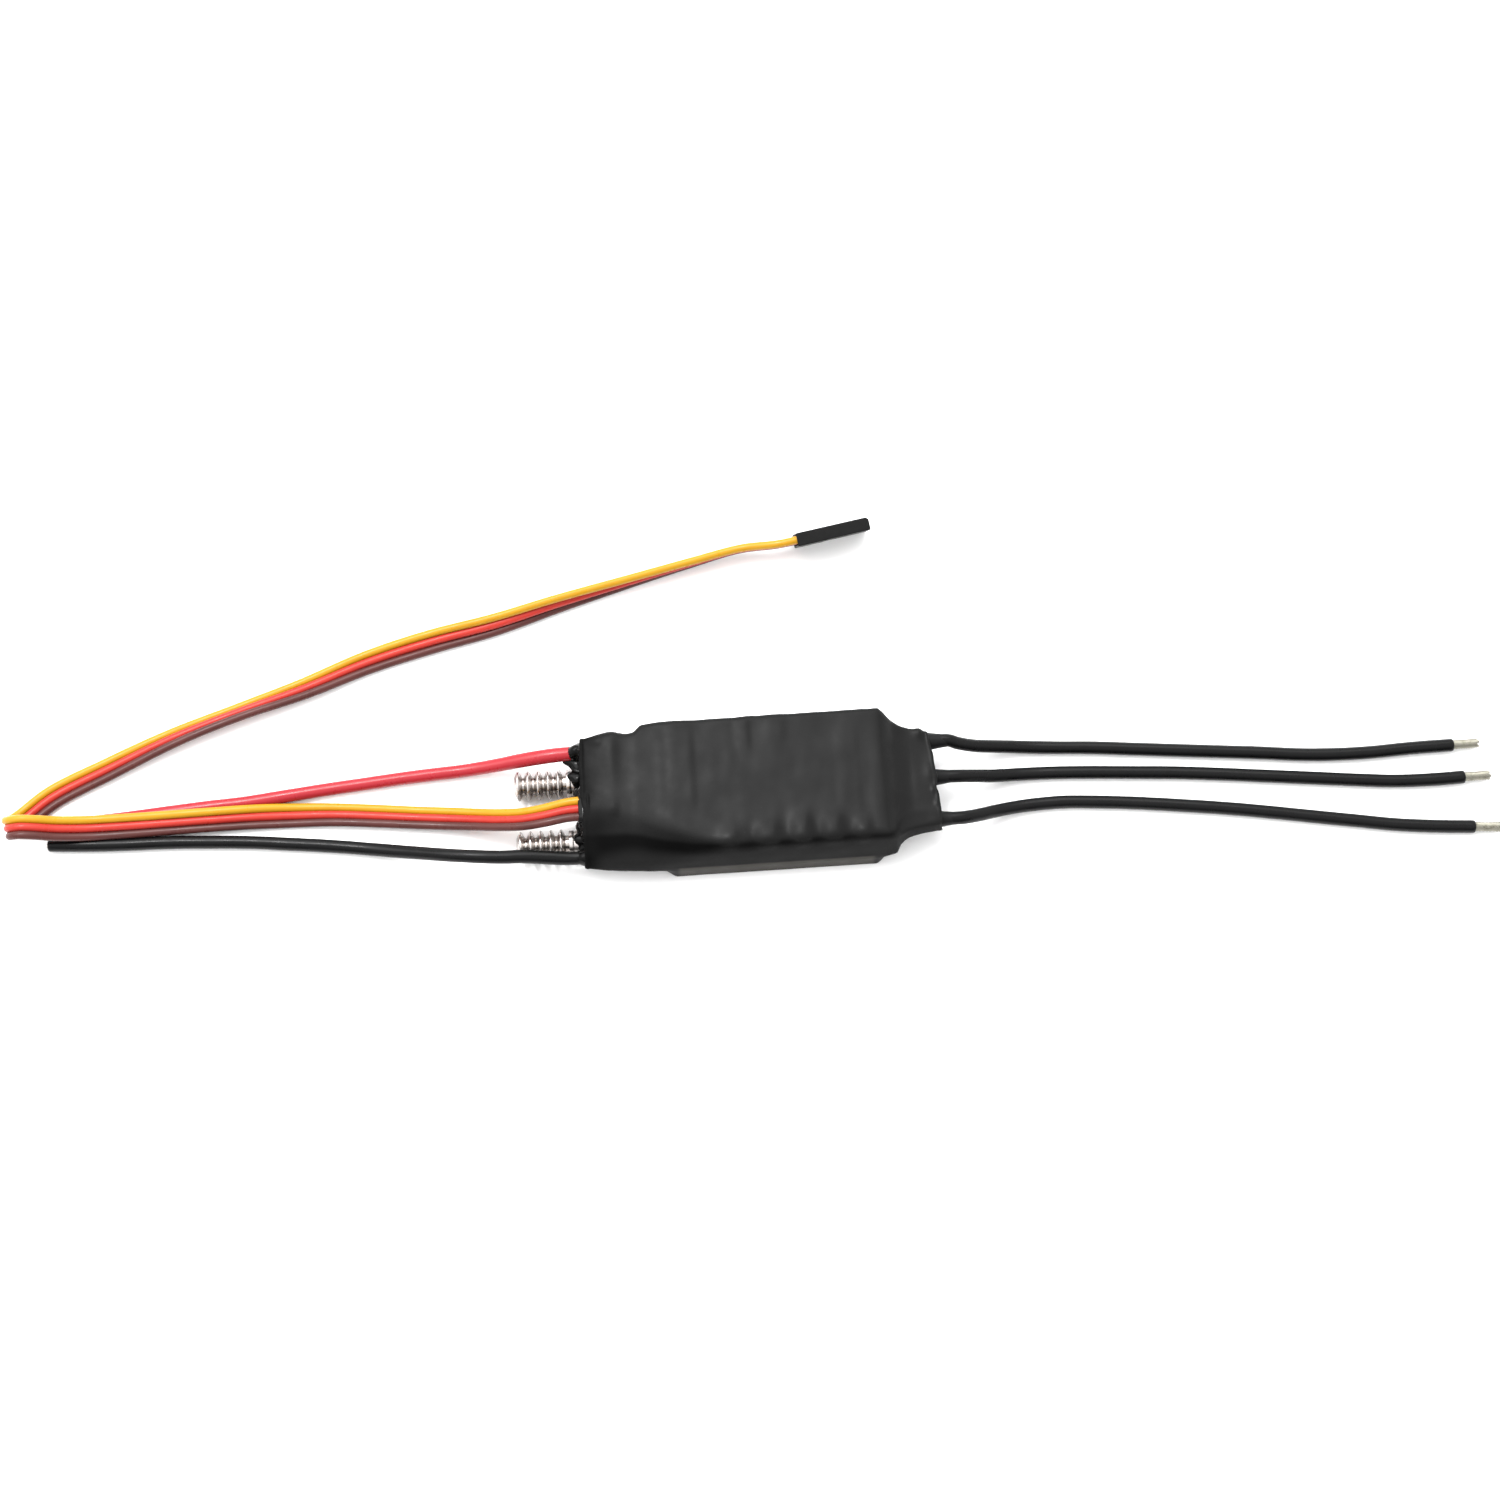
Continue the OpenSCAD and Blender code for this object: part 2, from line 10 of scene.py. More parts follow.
import bmesh
import bpy
import numpy as np
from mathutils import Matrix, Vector


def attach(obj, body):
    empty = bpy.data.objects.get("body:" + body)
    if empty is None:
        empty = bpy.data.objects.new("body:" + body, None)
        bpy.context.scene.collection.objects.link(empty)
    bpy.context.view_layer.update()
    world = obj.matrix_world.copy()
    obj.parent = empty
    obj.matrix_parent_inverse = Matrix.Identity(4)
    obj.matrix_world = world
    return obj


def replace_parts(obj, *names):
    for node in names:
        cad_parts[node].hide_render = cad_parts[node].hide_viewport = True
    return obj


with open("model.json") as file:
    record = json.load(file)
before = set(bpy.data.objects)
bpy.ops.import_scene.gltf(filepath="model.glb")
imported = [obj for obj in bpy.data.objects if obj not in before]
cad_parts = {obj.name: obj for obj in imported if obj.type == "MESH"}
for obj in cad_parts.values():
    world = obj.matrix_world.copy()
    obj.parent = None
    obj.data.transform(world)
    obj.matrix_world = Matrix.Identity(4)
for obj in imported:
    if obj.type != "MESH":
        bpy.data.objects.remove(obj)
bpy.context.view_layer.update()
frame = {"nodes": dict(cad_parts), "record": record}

MM = 0.001
X, Y, Z = (1, 0, 0), (0, 1, 0), (0, 0, 1)

# ---- camera, as the picture was taken

LOOK_AT = np.array([5.1, 10.1, 0.0])
CAMERA_DISTANCE = 500.0
CAMERA_ELEVATION = math.radians(72.0)
CAMERA_TURN = math.radians(3.9)
LENS = 64.8


def aimed(name, data, place, way):
    """An object in the scene at a place in metres, looking along a way."""
    obj = bpy.data.objects.new(name, data)
    obj.location = place
    obj.rotation_mode = "QUATERNION"
    obj.rotation_quaternion = Vector(way).to_track_quat("-Z", "Y")
    bpy.context.scene.collection.objects.link(obj)
    return obj


def make_camera():
    level = np.array([math.sin(CAMERA_TURN), math.cos(CAMERA_TURN), 0.0])
    ahead = math.cos(CAMERA_ELEVATION) * level - np.array([0, 0, math.sin(CAMERA_ELEVATION)])
    data = bpy.data.cameras.new("camera")
    data.lens, data.sensor_width = LENS, 36.0
    data.clip_start, data.clip_end = 0.01, 20.0
    place = (LOOK_AT - CAMERA_DISTANCE * ahead) * MM
    bpy.context.scene.camera = aimed("camera", data, place, ahead)


make_camera()

# ---- materials

# The floor is lit until it is pure white, so colours are given as they look and scaled by this
EXPOSURE = 0.46


def linear(r, g, b):
    """A colour given as display values from 0 to 255, as the linear values that a shader takes."""
    out = []
    for v in (r, g, b):
        v = v / 255
        out.append(EXPOSURE * (v / 12.92 if v <= 0.04045 else ((v + 0.055) / 1.055) ** 2.4))
    return (*out, 1.0)


def grey(v):
    return linear(v, v, v)


def bare_metal(r, g, b):
    """A metal's colour, which keeps its full brightness."""
    return tuple(min(1.0, v / EXPOSURE) for v in linear(r, g, b)[:3]) + (1.0,)


def fill_in(node, **values):
    for key, value in values.items():
        node.inputs[key.replace("_", " ")].default_value = value


class Look:
    """One procedural material: a base shader plus the nodes that vary its colour, gloss and relief."""

    def __init__(self, name, color, roughness, **constants):
        self.name = name
        self.material = bpy.data.materials.new(name)
        self.material.use_nodes = True
        self.tree = self.material.node_tree
        self.shader = self.tree.nodes["Principled BSDF"]
        self.place = self.node("TexCoord").outputs["Object"]
        self.color, self.height = color, None
        fill_in(self.shader, Base_Color=color, Roughness=roughness, **constants)

    def node(self, kind, **values):
        """A new node with some of its inputs filled in."""
        node = self.tree.nodes.new("ShaderNode" + kind)
        fill_in(node, **values)
        return node

    def link(self, a, b):
        self.tree.links.new(a, b)
        return self

    def noise(self, size, detail, squeeze=(1, 1, 1), distortion=0.0):
        """Noise with features about size millimetres across, and longer where squeeze is below 1."""
        node = self.node("TexNoise", Scale=1.0 / (size * MM), Detail=detail, Distortion=distortion)
        place = self.node("Mapping", Scale=squeeze)
        self.link(self.place, place.inputs["Vector"])
        self.link(place.outputs["Vector"], node.inputs["Vector"])
        return node.outputs["Fac"]

    def ramp(self, value, low, high, out_low=0.0, out_high=1.0):
        node = self.node("MapRange", From_Min=low, From_Max=high, To_Min=out_low, To_Max=out_high)
        node.interpolation_type = "SMOOTHSTEP"
        self.link(value, node.inputs["Value"])
        return node.outputs["Result"]

    def tint(self, mask, color):
        """Blends the base colour towards another where the mask is 1."""
        node = self.node("Mix")
        node.data_type = "RGBA"
        self.link(mask, node.inputs["Factor"])
        socket = self.shader.inputs["Base Color"]
        if socket.is_linked:
            self.link(socket.links[0].from_socket, node.inputs[6])
        else:
            node.inputs[6].default_value = self.color
        node.inputs[7].default_value = color
        self.link(node.outputs[2], socket)
        return self

    def patches(self, size, detail, low, high, color, **how):
        """Tints patches of about a size in millimetres."""
        return self.tint(self.ramp(self.noise(size, detail, **how), low, high), color)

    def gloss(self, size, detail, low, high):
        """Roughness that varies from low to high over about a size in millimetres."""
        value = self.ramp(self.noise(size, detail), 0.3, 0.7, low, high)
        return self.link(value, self.shader.inputs["Roughness"])

    def along(self, way, low, high, *out):
        """0 to 1, or between two other values, as the distance along a direction runs from low to high."""
        dot = self.node("VectorMath")
        dot.operation = "DOT_PRODUCT"
        dot.inputs[1].default_value = way
        self.link(self.place, dot.inputs[0])
        return self.ramp(dot.outputs["Value"], low * MM, high * MM, *out)

    def over_block(self):
        """1 on the front side where the film is drawn thin over the metal block; a lighter band is painted
        there as a reflection of the floor.
        """
        total = self.along(Y, -12.9, -13.25)
        for way, low, high in ((Z, 5.9, 5.3), (X, -9.8, -8.8), (X, 26.6, 25.6)):
            total = self.both(total, self.along(way, low, high))
        return total

    def both(self, a, b):
        """The product of two masks."""
        node = self.node("Math")
        node.operation = "MULTIPLY"
        self.link(a, node.inputs[0])
        self.link(b, node.inputs[1])
        return node.outputs["Value"]

    def relief(self, value, depth, strength=1.0):
        """Adds bump of a depth in millimetres on top of any that is there."""
        node = self.node("Bump", Distance=depth * MM, Strength=strength)
        self.link(value, node.inputs["Height"])
        if self.height is not None:
            self.link(self.height, node.inputs["Normal"])
        self.height = node.outputs["Normal"]
        return self.link(self.height, self.shader.inputs["Normal"])


def shrink_film():
    look = Look("shrink_film", grey(25), 0.45, Specular_IOR_Level=0.1)
    look.patches(7, 4, 0.4, 0.7, grey(28), distortion=0.6)
    look.patches(0.45, 4, 0.66, 0.82, grey(42))
    # Painted shade: the colour darkens towards the front edge of the top.
    look.tint(look.along((0.48, 1, 0), -11.9, -13.9), grey(22))
    front = look.along(Y, -1.0, -3.0)
    low_front = look.both(look.along((0, 0.6, 1), 5.9, 4.2), front)
    # Painted shade: the front wall and front slope are darker, except on the motor tab.
    look.tint(look.both(low_front, look.along(X, 31.5, 29.5)), grey(17))
    # Painted shade: the left part of the front is darker still.
    left_slope_painted_shade = look.both(look.along((0.16, 0.6, 1), 5.8, 4.3), look.along(X, 2.0, -4.0))
    look.tint(look.both(left_slope_painted_shade, front), grey(11))
    # Painted reflection of the bright floor: the lower part of the front wall is lighter again.
    look.tint(look.both(low_front, look.along((-0.05, 0.3, 1), 7.3, 5.2)), grey(41))
    # Painted shade: the film darkens towards the mouth.
    look.tint(look.along(X, -22.0, -25.5), grey(20))
    # Painted reflection of the bright floor: a lighter band low on the front side over the block, which
    # also lifts the floor's contact shade there.
    look.tint(look.over_block(), linear(81, 79, 75))
    shine = look.both(look.along(X, -26.0, -19.0, 0.3, 1.0), look.ramp(low_front, 0, 1, 0.1, 0.02))
    look.link(shine, look.shader.inputs["Specular IOR Level"])
    look.gloss(5, 4, 0.38, 0.5)
    look.relief(look.noise(0.16, 4), 0.01, 0.4)
    return look.relief(look.noise(2.2, 3, (0.5, 1, 1)), 0.03, 0.5)


def silicone(name, base, patch, highlight, specular):
    look = Look(name, base, 0.38, Specular_IOR_Level=specular)
    look.patches(7, 3, 0.45, 0.75, patch)
    look.patches(0.35, 4, 0.66, 0.82, highlight)
    look.gloss(3, 3, 0.24, 0.34)
    look.relief(look.noise(0.22, 3, (0.35, 1, 1)), 0.01, 0.5)
    return look.relief(look.noise(1.6, 2), 0.02, 0.5)


def pvc(name, base, patch):
    look = Look(name, base, 0.3, Specular_IOR_Level=0.22)
    look.patches(5, 3, 0.42, 0.75, patch)
    look.gloss(2.4, 3, 0.26, 0.4)
    look.relief(look.noise(0.2, 3, (0.25, 1, 1)), 0.008, 0.5)
    return look.relief(look.noise(1.3, 2), 0.015, 0.4)


def turned_aluminium():
    look = Look("nipple_aluminium", bare_metal(192, 187, 184), 0.3, Metallic=1.0)
    look.patches(1.3, 4, 0.5, 0.8, bare_metal(174, 167, 162))
    # Painted shade: the metal is darker low down on the nipples, standing in for their darker reflections
    # there.
    look.tint(look.along(Z, 4.9, 3.7), bare_metal(126, 119, 114))
    look.gloss(0.9, 3, 0.24, 0.34)
    return look.relief(look.noise(0.07, 2, (1, 0.03, 0.03)), 0.003, 0.4)


def milled_aluminium():
    look = Look("block_aluminium", bare_metal(205, 205, 208), 0.3, Metallic=1.0)
    look.patches(3, 4, 0.5, 0.8, bare_metal(180, 180, 184))
    look.gloss(1.5, 3, 0.24, 0.42)
    return look.relief(look.noise(0.08, 2, (0.04, 1, 1)), 0.008, 0.5)


def plain(name, base, patch, rough, size, relief_depth, **constants):
    """A small part's finish: two close tones, uneven gloss and fine relief."""
    look = Look(name, base, rough, **constants)
    look.patches(size, 4, 0.45, 0.75, patch)
    look.gloss(size * 0.6, 3, rough * 0.8, min(1.0, rough * 1.25))
    return look.relief(look.noise(size * 0.15, 3), relief_depth, 0.6)


def solder_mask():
    look = Look("board_laminate", linear(14, 74, 40), 0.28, Coat_Weight=0.4, Coat_Roughness=0.15)
    weave = look.node("TexBrick", Scale=1.0 / (0.9 * MM), Mortar_Size=0.06)
    look.link(look.place, weave.inputs["Vector"])
    look.patches(1.4, 2, 0.52, 0.56, linear(22, 92, 52), distortion=2.0)
    look.gloss(2, 3, 0.22, 0.36)
    return look.relief(weave.outputs["Fac"], 0.01, 0.4)


def glue(name, base, patch, rough, gloss, lump, specular):
    look = Look(name, base, rough, Specular_IOR_Level=specular)
    look.patches(1.6, 3, 0.5, 0.8, patch)
    look.gloss(1.2, 3, *gloss)
    return look.relief(look.noise(lump, 3), 0.05, 0.5)


def tinned():
    look = Look("tinned_copper", bare_metal(136, 134, 123), 0.4, Metallic=1.0)
    look.patches(0.8, 4, 0.5, 0.75, bare_metal(104, 100, 86))
    look.gloss(0.5, 3, 0.34, 0.55)
    return look.relief(look.noise(0.3, 4), 0.03, 0.6)


METAL = {"Metallic": 1.0}
LOOKS = {look.name: look for look in (
    shrink_film(),
    silicone("silicone_red", linear(205, 46, 58), linear(201, 44, 56), linear(210, 56, 68), 0.28),
    silicone("silicone_black", linear(10, 10, 11), linear(14, 14, 15), linear(26, 26, 27), 0.14),
    pvc("pvc_yellow", linear(234, 174, 32), linear(232, 167, 25)),
    pvc("pvc_red", linear(228, 66, 54), linear(220, 60, 50)),
    pvc("pvc_brown", linear(104, 56, 52), linear(94, 50, 46)),
    turned_aluminium(),
    milled_aluminium(),
    glue("glue_black", grey(10), linear(20, 20, 21), 0.15, (0.1, 0.24), 0.7, 0.1),
    glue("glue_dull", linear(22, 22, 23), linear(30, 30, 31), 0.42, (0.34, 0.5), 0.8, 0.12),
    tinned(),
    solder_mask(),
    plain("plug_plastic", grey(19), grey(24), 0.42, 1.2, 0.02, Specular_IOR_Level=0.13),
    plain("pad_silicone", linear(150, 176, 196), linear(138, 166, 188), 0.7, 1.5, 0.03),
    plain("chip_epoxy", linear(40, 40, 42), linear(48, 48, 50), 0.5, 0.5, 0.012),
    plain("resistor_alloy", bare_metal(150, 150, 150), bare_metal(120, 118, 116), 0.35, 0.8, 0.01, **METAL),
    plain("tantalum_case", linear(200, 164, 74), linear(190, 152, 64), 0.4, 0.8, 0.01),
    plain("ferrite", linear(68, 68, 72), linear(58, 58, 60), 0.6, 0.6, 0.03),
    plain("capacitor_ceramic", linear(190, 164, 128), linear(176, 150, 116), 0.35, 0.5, 0.01),
    plain("header_plastic", grey(34), grey(42), 0.4, 0.6, 0.01),
    plain("contact_gold", bare_metal(232, 200, 120), bare_metal(206, 168, 92), 0.22, 0.5, 0.006, **METAL),
    plain("resonator_can", bare_metal(214, 214, 212), bare_metal(190, 190, 190), 0.25, 0.7, 0.008, **METAL),
    plain("solder", bare_metal(206, 206, 204), bare_metal(176, 176, 174), 0.28, 0.6, 0.02, **METAL),
)}

# ---- mesh helpers


def piece(name, vertices, faces, look, slot=None, smooth=True):
    """A mesh object from millimetre points, riding on the one body. The slot argument is not used."""
    mesh = bpy.data.meshes.new(name)
    mesh.from_pydata([tuple(v) for v in np.asarray(vertices, float) * MM], [], faces)
    mesh.validate()
    bm = bmesh.new()
    bm.from_mesh(mesh)
    bmesh.ops.recalc_face_normals(bm, faces=bm.faces)
    bm.to_mesh(mesh)
    bm.free()
    for polygon in mesh.polygons:
        polygon.use_smooth = smooth
    mesh.materials.append(LOOKS[look].material)
    obj = bpy.data.objects.new(name, mesh)
    bpy.context.scene.collection.objects.link(obj)
    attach(obj, "root")
    slot or look
    return obj


def between(u, low, high, a, b):
    """The value at u of a line that is a at low and b at high."""
    return (high - u) / (high - low) * a + (u - low) / (high - low) * b


def smooth_path(points, step):
    """Centripetal curve through rows whose first three columns are a place, at even steps along it."""
    p = np.array(points, float)
    p = np.vstack([2 * p[0] - p[1], p, 2 * p[-1] - p[-2]])
    rows = []
    for i in range(1, len(p) - 2):
        q = p[i - 1 : i + 3]
        t = np.concatenate([[0], np.cumsum(np.sqrt(np.linalg.norm(np.diff(q[:, :3], axis=0), axis=1)))])
        u = np.linspace(t[1], t[2], 25)[:-1, None]
        a = [between(u, t[k], t[k + 1], q[k], q[k + 1]) for k in range(3)]
        b = [between(u, t[k], t[k + 2], a[k], a[k + 1]) for k in range(2)]
        rows.append(between(u, t[1], t[2], b[0], b[1]))
    line = np.vstack([*rows, p[-2:-1]])
    along = distances(line)
    at = np.linspace(0, along[-1], math.ceil(along[-1] / step) + 1)
    return np.stack([np.interp(at, along, line[:, k]) for k in range(p.shape[1])], axis=1)


def distances(line):
    return np.concatenate([[0], np.cumsum(np.linalg.norm(np.diff(line[:, :3], axis=0), axis=1))])


def unit(v):
    return v / np.maximum(np.linalg.norm(v, axis=-1, keepdims=True), 1e-12)


def sides_and_ups(path, sides=None):
    """Side and up vectors along a path. A side that isn't given starts level and is carried along."""
    t = unit(np.gradient(path, axis=0))
    if sides is None:
        s = np.zeros_like(path)
        last = unit(np.cross([0, 0, 1.0], t[0]))
        for i, ti in enumerate(t):
            last = unit(last - (last @ ti) * ti)
            s[i] = last
    else:
        s = unit(sides - (sides * t).sum(1, keepdims=True) * t)
    return s, np.cross(t, s)


def turn_in_steps(count):
    """Angles at even steps round a full turn."""
    return np.linspace(0, math.tau, count, endpoint=False)


def swept(path, radius, sides=None, count=24):
    """Vertices and faces of a closed tube. Its radius goes by the point, or by the point and the angle."""
    s, u = sides_and_ups(path, sides)
    a = turn_in_steps(count)
    r = np.asarray(radius, float)
    r = np.broadcast_to(r if r.ndim == 2 else r.reshape(-1, 1), (len(path), count))
    outward = np.cos(a)[None, :, None] * s[:, None] + np.sin(a)[None, :, None] * u[:, None]
    rings = path[:, None] + r[..., None] * outward
    faces = grid_faces(len(path), count)
    vertices = rings.reshape(-1, 3)
    for ring in (0, len(path) - 1):
        vertices = np.vstack([vertices, rings[ring].mean(0)])
        centre = len(vertices) - 1
        faces += [(ring * count + k, ring * count + (k + 1) % count, centre) for k in range(count)]
    return vertices, faces


def grid_faces(rows, count, closed=False):
    """Quads between rings of points, and from the last ring back to the first one if closed."""
    faces = []
    for i in range(rows if closed else rows - 1):
        a, b = i * count, (i + 1) % rows * count
        faces += [(a + k, a + (k + 1) % count, b + (k + 1) % count, b + k) for k in range(count)]
    return faces


def joined(parts):
    """Several (vertices, faces) pairs as one."""
    vertices, faces, n = [], [], 0
    for v, f in parts:
        vertices.append(v)
        faces += [tuple(i + n for i in face) for face in f]
        n += len(v)
    return np.vstack(vertices), faces


def lumps(along, seed, amount, size):
    """Smooth random unevenness along a length, as a share."""
    r = np.random.default_rng(seed)
    total = np.zeros_like(along)
    for k in range(6):
        total += np.sin(along / (size * (0.6 + 0.35 * k)) + r.uniform(0, 6.28)) * r.uniform(0.4, 1)
    return amount * total / 3


def softened_ends(path, radius, edge):
    """The path and radii with extra points at the ends that round the cut edges."""
    along = distances(path)
    inner = (along > 1.5 * edge) & (along < along[-1] - 1.5 * edge)
    steps = edge * np.array([0, 0.05, 0.2, 0.5, 1.0])
    drop = edge * (1 - np.sqrt(1 - (1 - steps / edge) ** 2))
    at = np.concatenate([steps, along[inner], along[-1] - steps[::-1]])
    fall = np.concatenate([drop, np.zeros(inner.sum()), drop[::-1]])
    new = np.stack([np.interp(at, along, path[:, k]) for k in range(3)], axis=1)
    return new, np.interp(at, along, radius) - fall


# ---- battery and motor leads

WIRE_D, TINNED_L, STRAND_D = 2.3, 4.8, 0.27

# Routes, as in part.scad
LEADS = {
    "power_wire_positive": [
        [-21, 9.8, 5.55], [-25, 9.8, 5.55], [-29, 9.8, 5.55], [-33, 9.7, 5.1], [-37, 9.6, 4.1],
        [-41, 9.5, 2.8], [-45, 9.4, 1.7], [-49, 9.2, 1.2], [-53, 9, 1.15], [-59, 8.6, 1.15],
        [-66, 8, 1.15], [-73, 7.4, 1.15], [-80, 6.7, 1.15], [-88, 5.9, 1.15], [-95, 5.5, 1.15],
        [-102, 5, 1.15], [-110, 4.4, 1.15], [-117, 4, 1.15], [-124, 3.5, 1.15],
    ],
    "power_wire_negative": [
        [-21, -10, 5.55], [-25, -10, 5.55], [-29, -10, 5.55], [-33, -9.7, 6], [-37, -9.4, 6.5],
        [-41.5, -9.3, 6.8], [-46.5, -8.8, 6.8], [-51, -8, 5.9], [-55.5, -6.9, 4.3], [-60, -5.8, 2.7],
        [-64.5, -4.8, 1.6], [-69, -4, 1.2], [-74, -3.3, 1.15], [-80, -2.6, 1.15], [-87, -1.8, 1.15],
        [-95, -1.2, 1.15], [-102, -0.8, 1.15], [-110, -0.6, 1.15], [-117, -0.3, 1.15], [-124, 0.2, 1.15],
    ],
    "motor_wire_a": [
        [35, 7.7, 5.55], [41.3, 7.7, 5.55], [43, 7.25, 5], [46, 6.9, 3.9], [49, 6.9, 2.9], [53, 6.9, 1.8],
        [57, 6.7, 1.25], [61, 6.4, 1.15], [68, 5.9, 1.15], [75, 5.2, 1.15], [83, 4.4, 1.15],
        [91, 3.6, 1.15], [99, 2.8, 1.15], [106, 2, 1.15], [112, 1.6, 1.15], [119, 1.5, 1.15],
        [127, 1.8, 1.15], [134.8, 1.9, 1.15],
    ],
    "motor_wire_b": [
        [35, 0.8, 5.55], [41.3, 0.8, 5.55], [43, 0.8, 5.3], [46, 1, 4.1], [49, 1.2, 2.8], [53, 1.5, 1.7],
        [57, 1.6, 1.2], [61, 1.5, 1.15], [68, 1.1, 1.15], [75, 0.6, 1.15], [83, 0, 1.15],
        [91, -0.8, 1.15], [99, -1.7, 1.15], [107, -2.6, 1.15], [115, -3.5, 1.15], [123, -4.3, 1.15],
        [130, -4.5, 1.15], [136, -4.4, 1.15],
    ],
    "motor_wire_c": [
        [35, -7.2, 5.55], [41.3, -7.2, 5.55], [43, -7.1, 5.3], [46, -6.4, 4], [49, -5.5, 2.6],
        [53, -4.7, 1.6], [57, -4.3, 1.2], [62, -4.2, 1.15], [69, -4.7, 1.15], [76, -5.4, 1.15],
        [84, -6.4, 1.15], [92, -7.5, 1.15], [100, -8.8, 1.15], [108, -10.2, 1.15], [115, -11.4, 1.15],
        [122, -12.6, 1.15], [129, -13.4, 1.15], [136.5, -14, 1.15],
    ],
}
LEAD_SLOTS = {"power_wire_positive": "silicone_red"}
# Share by which a lead is thicker just outside the sleeve
SWELL = {"power_wire_positive": 0.13, "power_wire_negative": 0.06}
# The tinned ends: strands, their radius and distance from the middle, and the radius of the solder inside
STRANDS, STRAND_R, STRAND_REACH, CORE_IN_STRANDS = 8, 0.27, 0.6, 0.64
# Twist and splay of each tinned end's strands, and its seed
TINNED_ENDS = {
    "motor_wire_a": (1.7, 0.0, 3), "motor_wire_b": (1.5, 0.12, 5), "motor_wire_c": (1.25, 0.28, 8),
}
MOUTH, TAB_END = -26.0, 38.5


def strand_face(tip, way, name):
    """Ends of the copper strands in the cut face of a battery lead."""
    up = np.array([0, 0, 1.0])
    side = unit(np.cross(up, way))
    places = [(0.0, 0.0)]
    for ring in (1, 2):
        for k in range(6 * ring):
            a = math.tau * k / (6 * ring) + 0.3 * ring
            places.append((ring * STRAND_D * 1.02 * math.cos(a), ring * STRAND_D * 1.02 * math.sin(a)))
    parts = []
    for k, (a, b) in enumerate(places):
        out = 0.06 + 0.1 * ((k * 7) % 5) / 5
        centre = tip + a * side + b * np.cross(way, side)
        path = np.array([centre - way * 0.8, centre + way * (out - 0.03), centre + way * out])
        parts.append(swept(path, [STRAND_D / 2, STRAND_D / 2, STRAND_D * 0.38], count=8))
    return piece(name, *joined(parts), "tinned_copper", smooth=False)


def tinned_end(tip, way, name, twist, splay, seed):
    """Twisted strands dipped in solder, carrying a lead on past its insulation."""
    side = unit(np.cross([0, 0, 1.0], way))
    up = np.cross(way, side)
    r = np.random.default_rng(seed)
    s = np.linspace(-0.6, TINNED_L, 40)
    parts = []
    for k in range(STRANDS):
        length = TINNED_L - r.uniform(0, 0.5)
        t = np.clip(s, None, length)[s <= length + 0.15]
        a = math.tau * k / STRANDS + twist * t
        spread = splay * np.clip((t - 2.6) / 2.2, 0, 1) ** 2 * r.uniform(0.2, 1)
        reach = (STRAND_REACH + spread) * (1 + 0.03 * np.sin(3 * t + k))
        path = tip + np.outer(t, way) + np.outer(reach * np.cos(a), side) + np.outer(reach * np.sin(a), up)
        path = path[np.concatenate([[True], np.linalg.norm(np.diff(path, axis=0), axis=1) > 1e-6])]
        thick = np.full(len(path), STRAND_R)
        thick[-1], thick[-2] = 0.1, 0.2
        parts.append(swept(path, thick, count=10))
    core = tip + np.outer(np.linspace(-0.6, TINNED_L - 0.35, 12), way)
    core_r = np.full(12, CORE_IN_STRANDS)
    core_r[-1], core_r[-2] = 0.25, 0.5
    parts.append(swept(core, core_r, count=16))
    return piece(name, *joined(parts), "tinned_copper")


def make_leads():
    for index, (name, points) in enumerate(LEADS.items()):
        path = smooth_path(points, 0.45)
        along = distances(path)
        swell = SWELL.get(name, 0) * np.exp(-(((along - 12) / 9) ** 2))
        radius = WIRE_D / 2 * (1.05 + swell + lumps(along, index, 0.012, 1.7))
        path, radius = softened_ends(path, radius, 0.38)
        slot = LEAD_SLOTS.get(name, "silicone_black")
        wire = piece("lead_" + name, *swept(path, radius, count=28), slot)
        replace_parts(wire, name)
        way = unit(path[-1] - path[-6])
        _, exit_y, exit_z = points[1]
        if name in TINNED_ENDS:
            exit_x, letter = TAB_END, name[-1]
            far = tinned_end(path[-1], way, "strands_" + letter, *TINNED_ENDS[name])
            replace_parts(far, "tinned_end_" + letter)
            on_it = [far, glue_collar(exit_y, exit_z, letter, index)]
        else:
            exit_x = MOUTH
            on_it = [strand_face(path[-1], way, "cut_face_" + name.removeprefix("power_wire_"))]
        [[v * MM for v in p] for p in path]


def glue_collar(y, z, letter, seed):
    """Uneven cone of hot glue where a motor lead leaves the sleeve."""
    start, length = 37.2, 4.3
    x = np.linspace(start, start + length, 30)
    t = (x - start) / length
    base = WIRE_D / 2 + 0.02 + 0.55 * (1 - t) ** 1.3
    count = 36
    a = turn_in_steps(count)
    r = np.random.default_rng(seed + 20)
    phase = r.uniform(0, 6.28, 2)
    wobble = 1 + 0.05 * np.sin(2 * a + phase[0] + 1.5 * t[:, None])
    wobble += 0.035 * np.sin(3 * a + phase[1] - 2 * t[:, None])
    ring = (base[:, None] - WIRE_D / 2) * wobble + WIRE_D / 2
    path = np.stack([x, np.full_like(x, y), np.full_like(x, z)], axis=1)
    cone = piece("glue_cone_" + letter, *swept(path, ring, count=count), "glue_dull", "glue_black")
    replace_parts(cone, "glue_collar_" + letter)
    return cone


make_leads()

# ---- servo ribbon and plug

SERVO_D, SERVO_PITCH = 1.5, 1.52
RIBBON_EXIT_Y, RIBBON_EXIT_Z = -1.7, 8.5
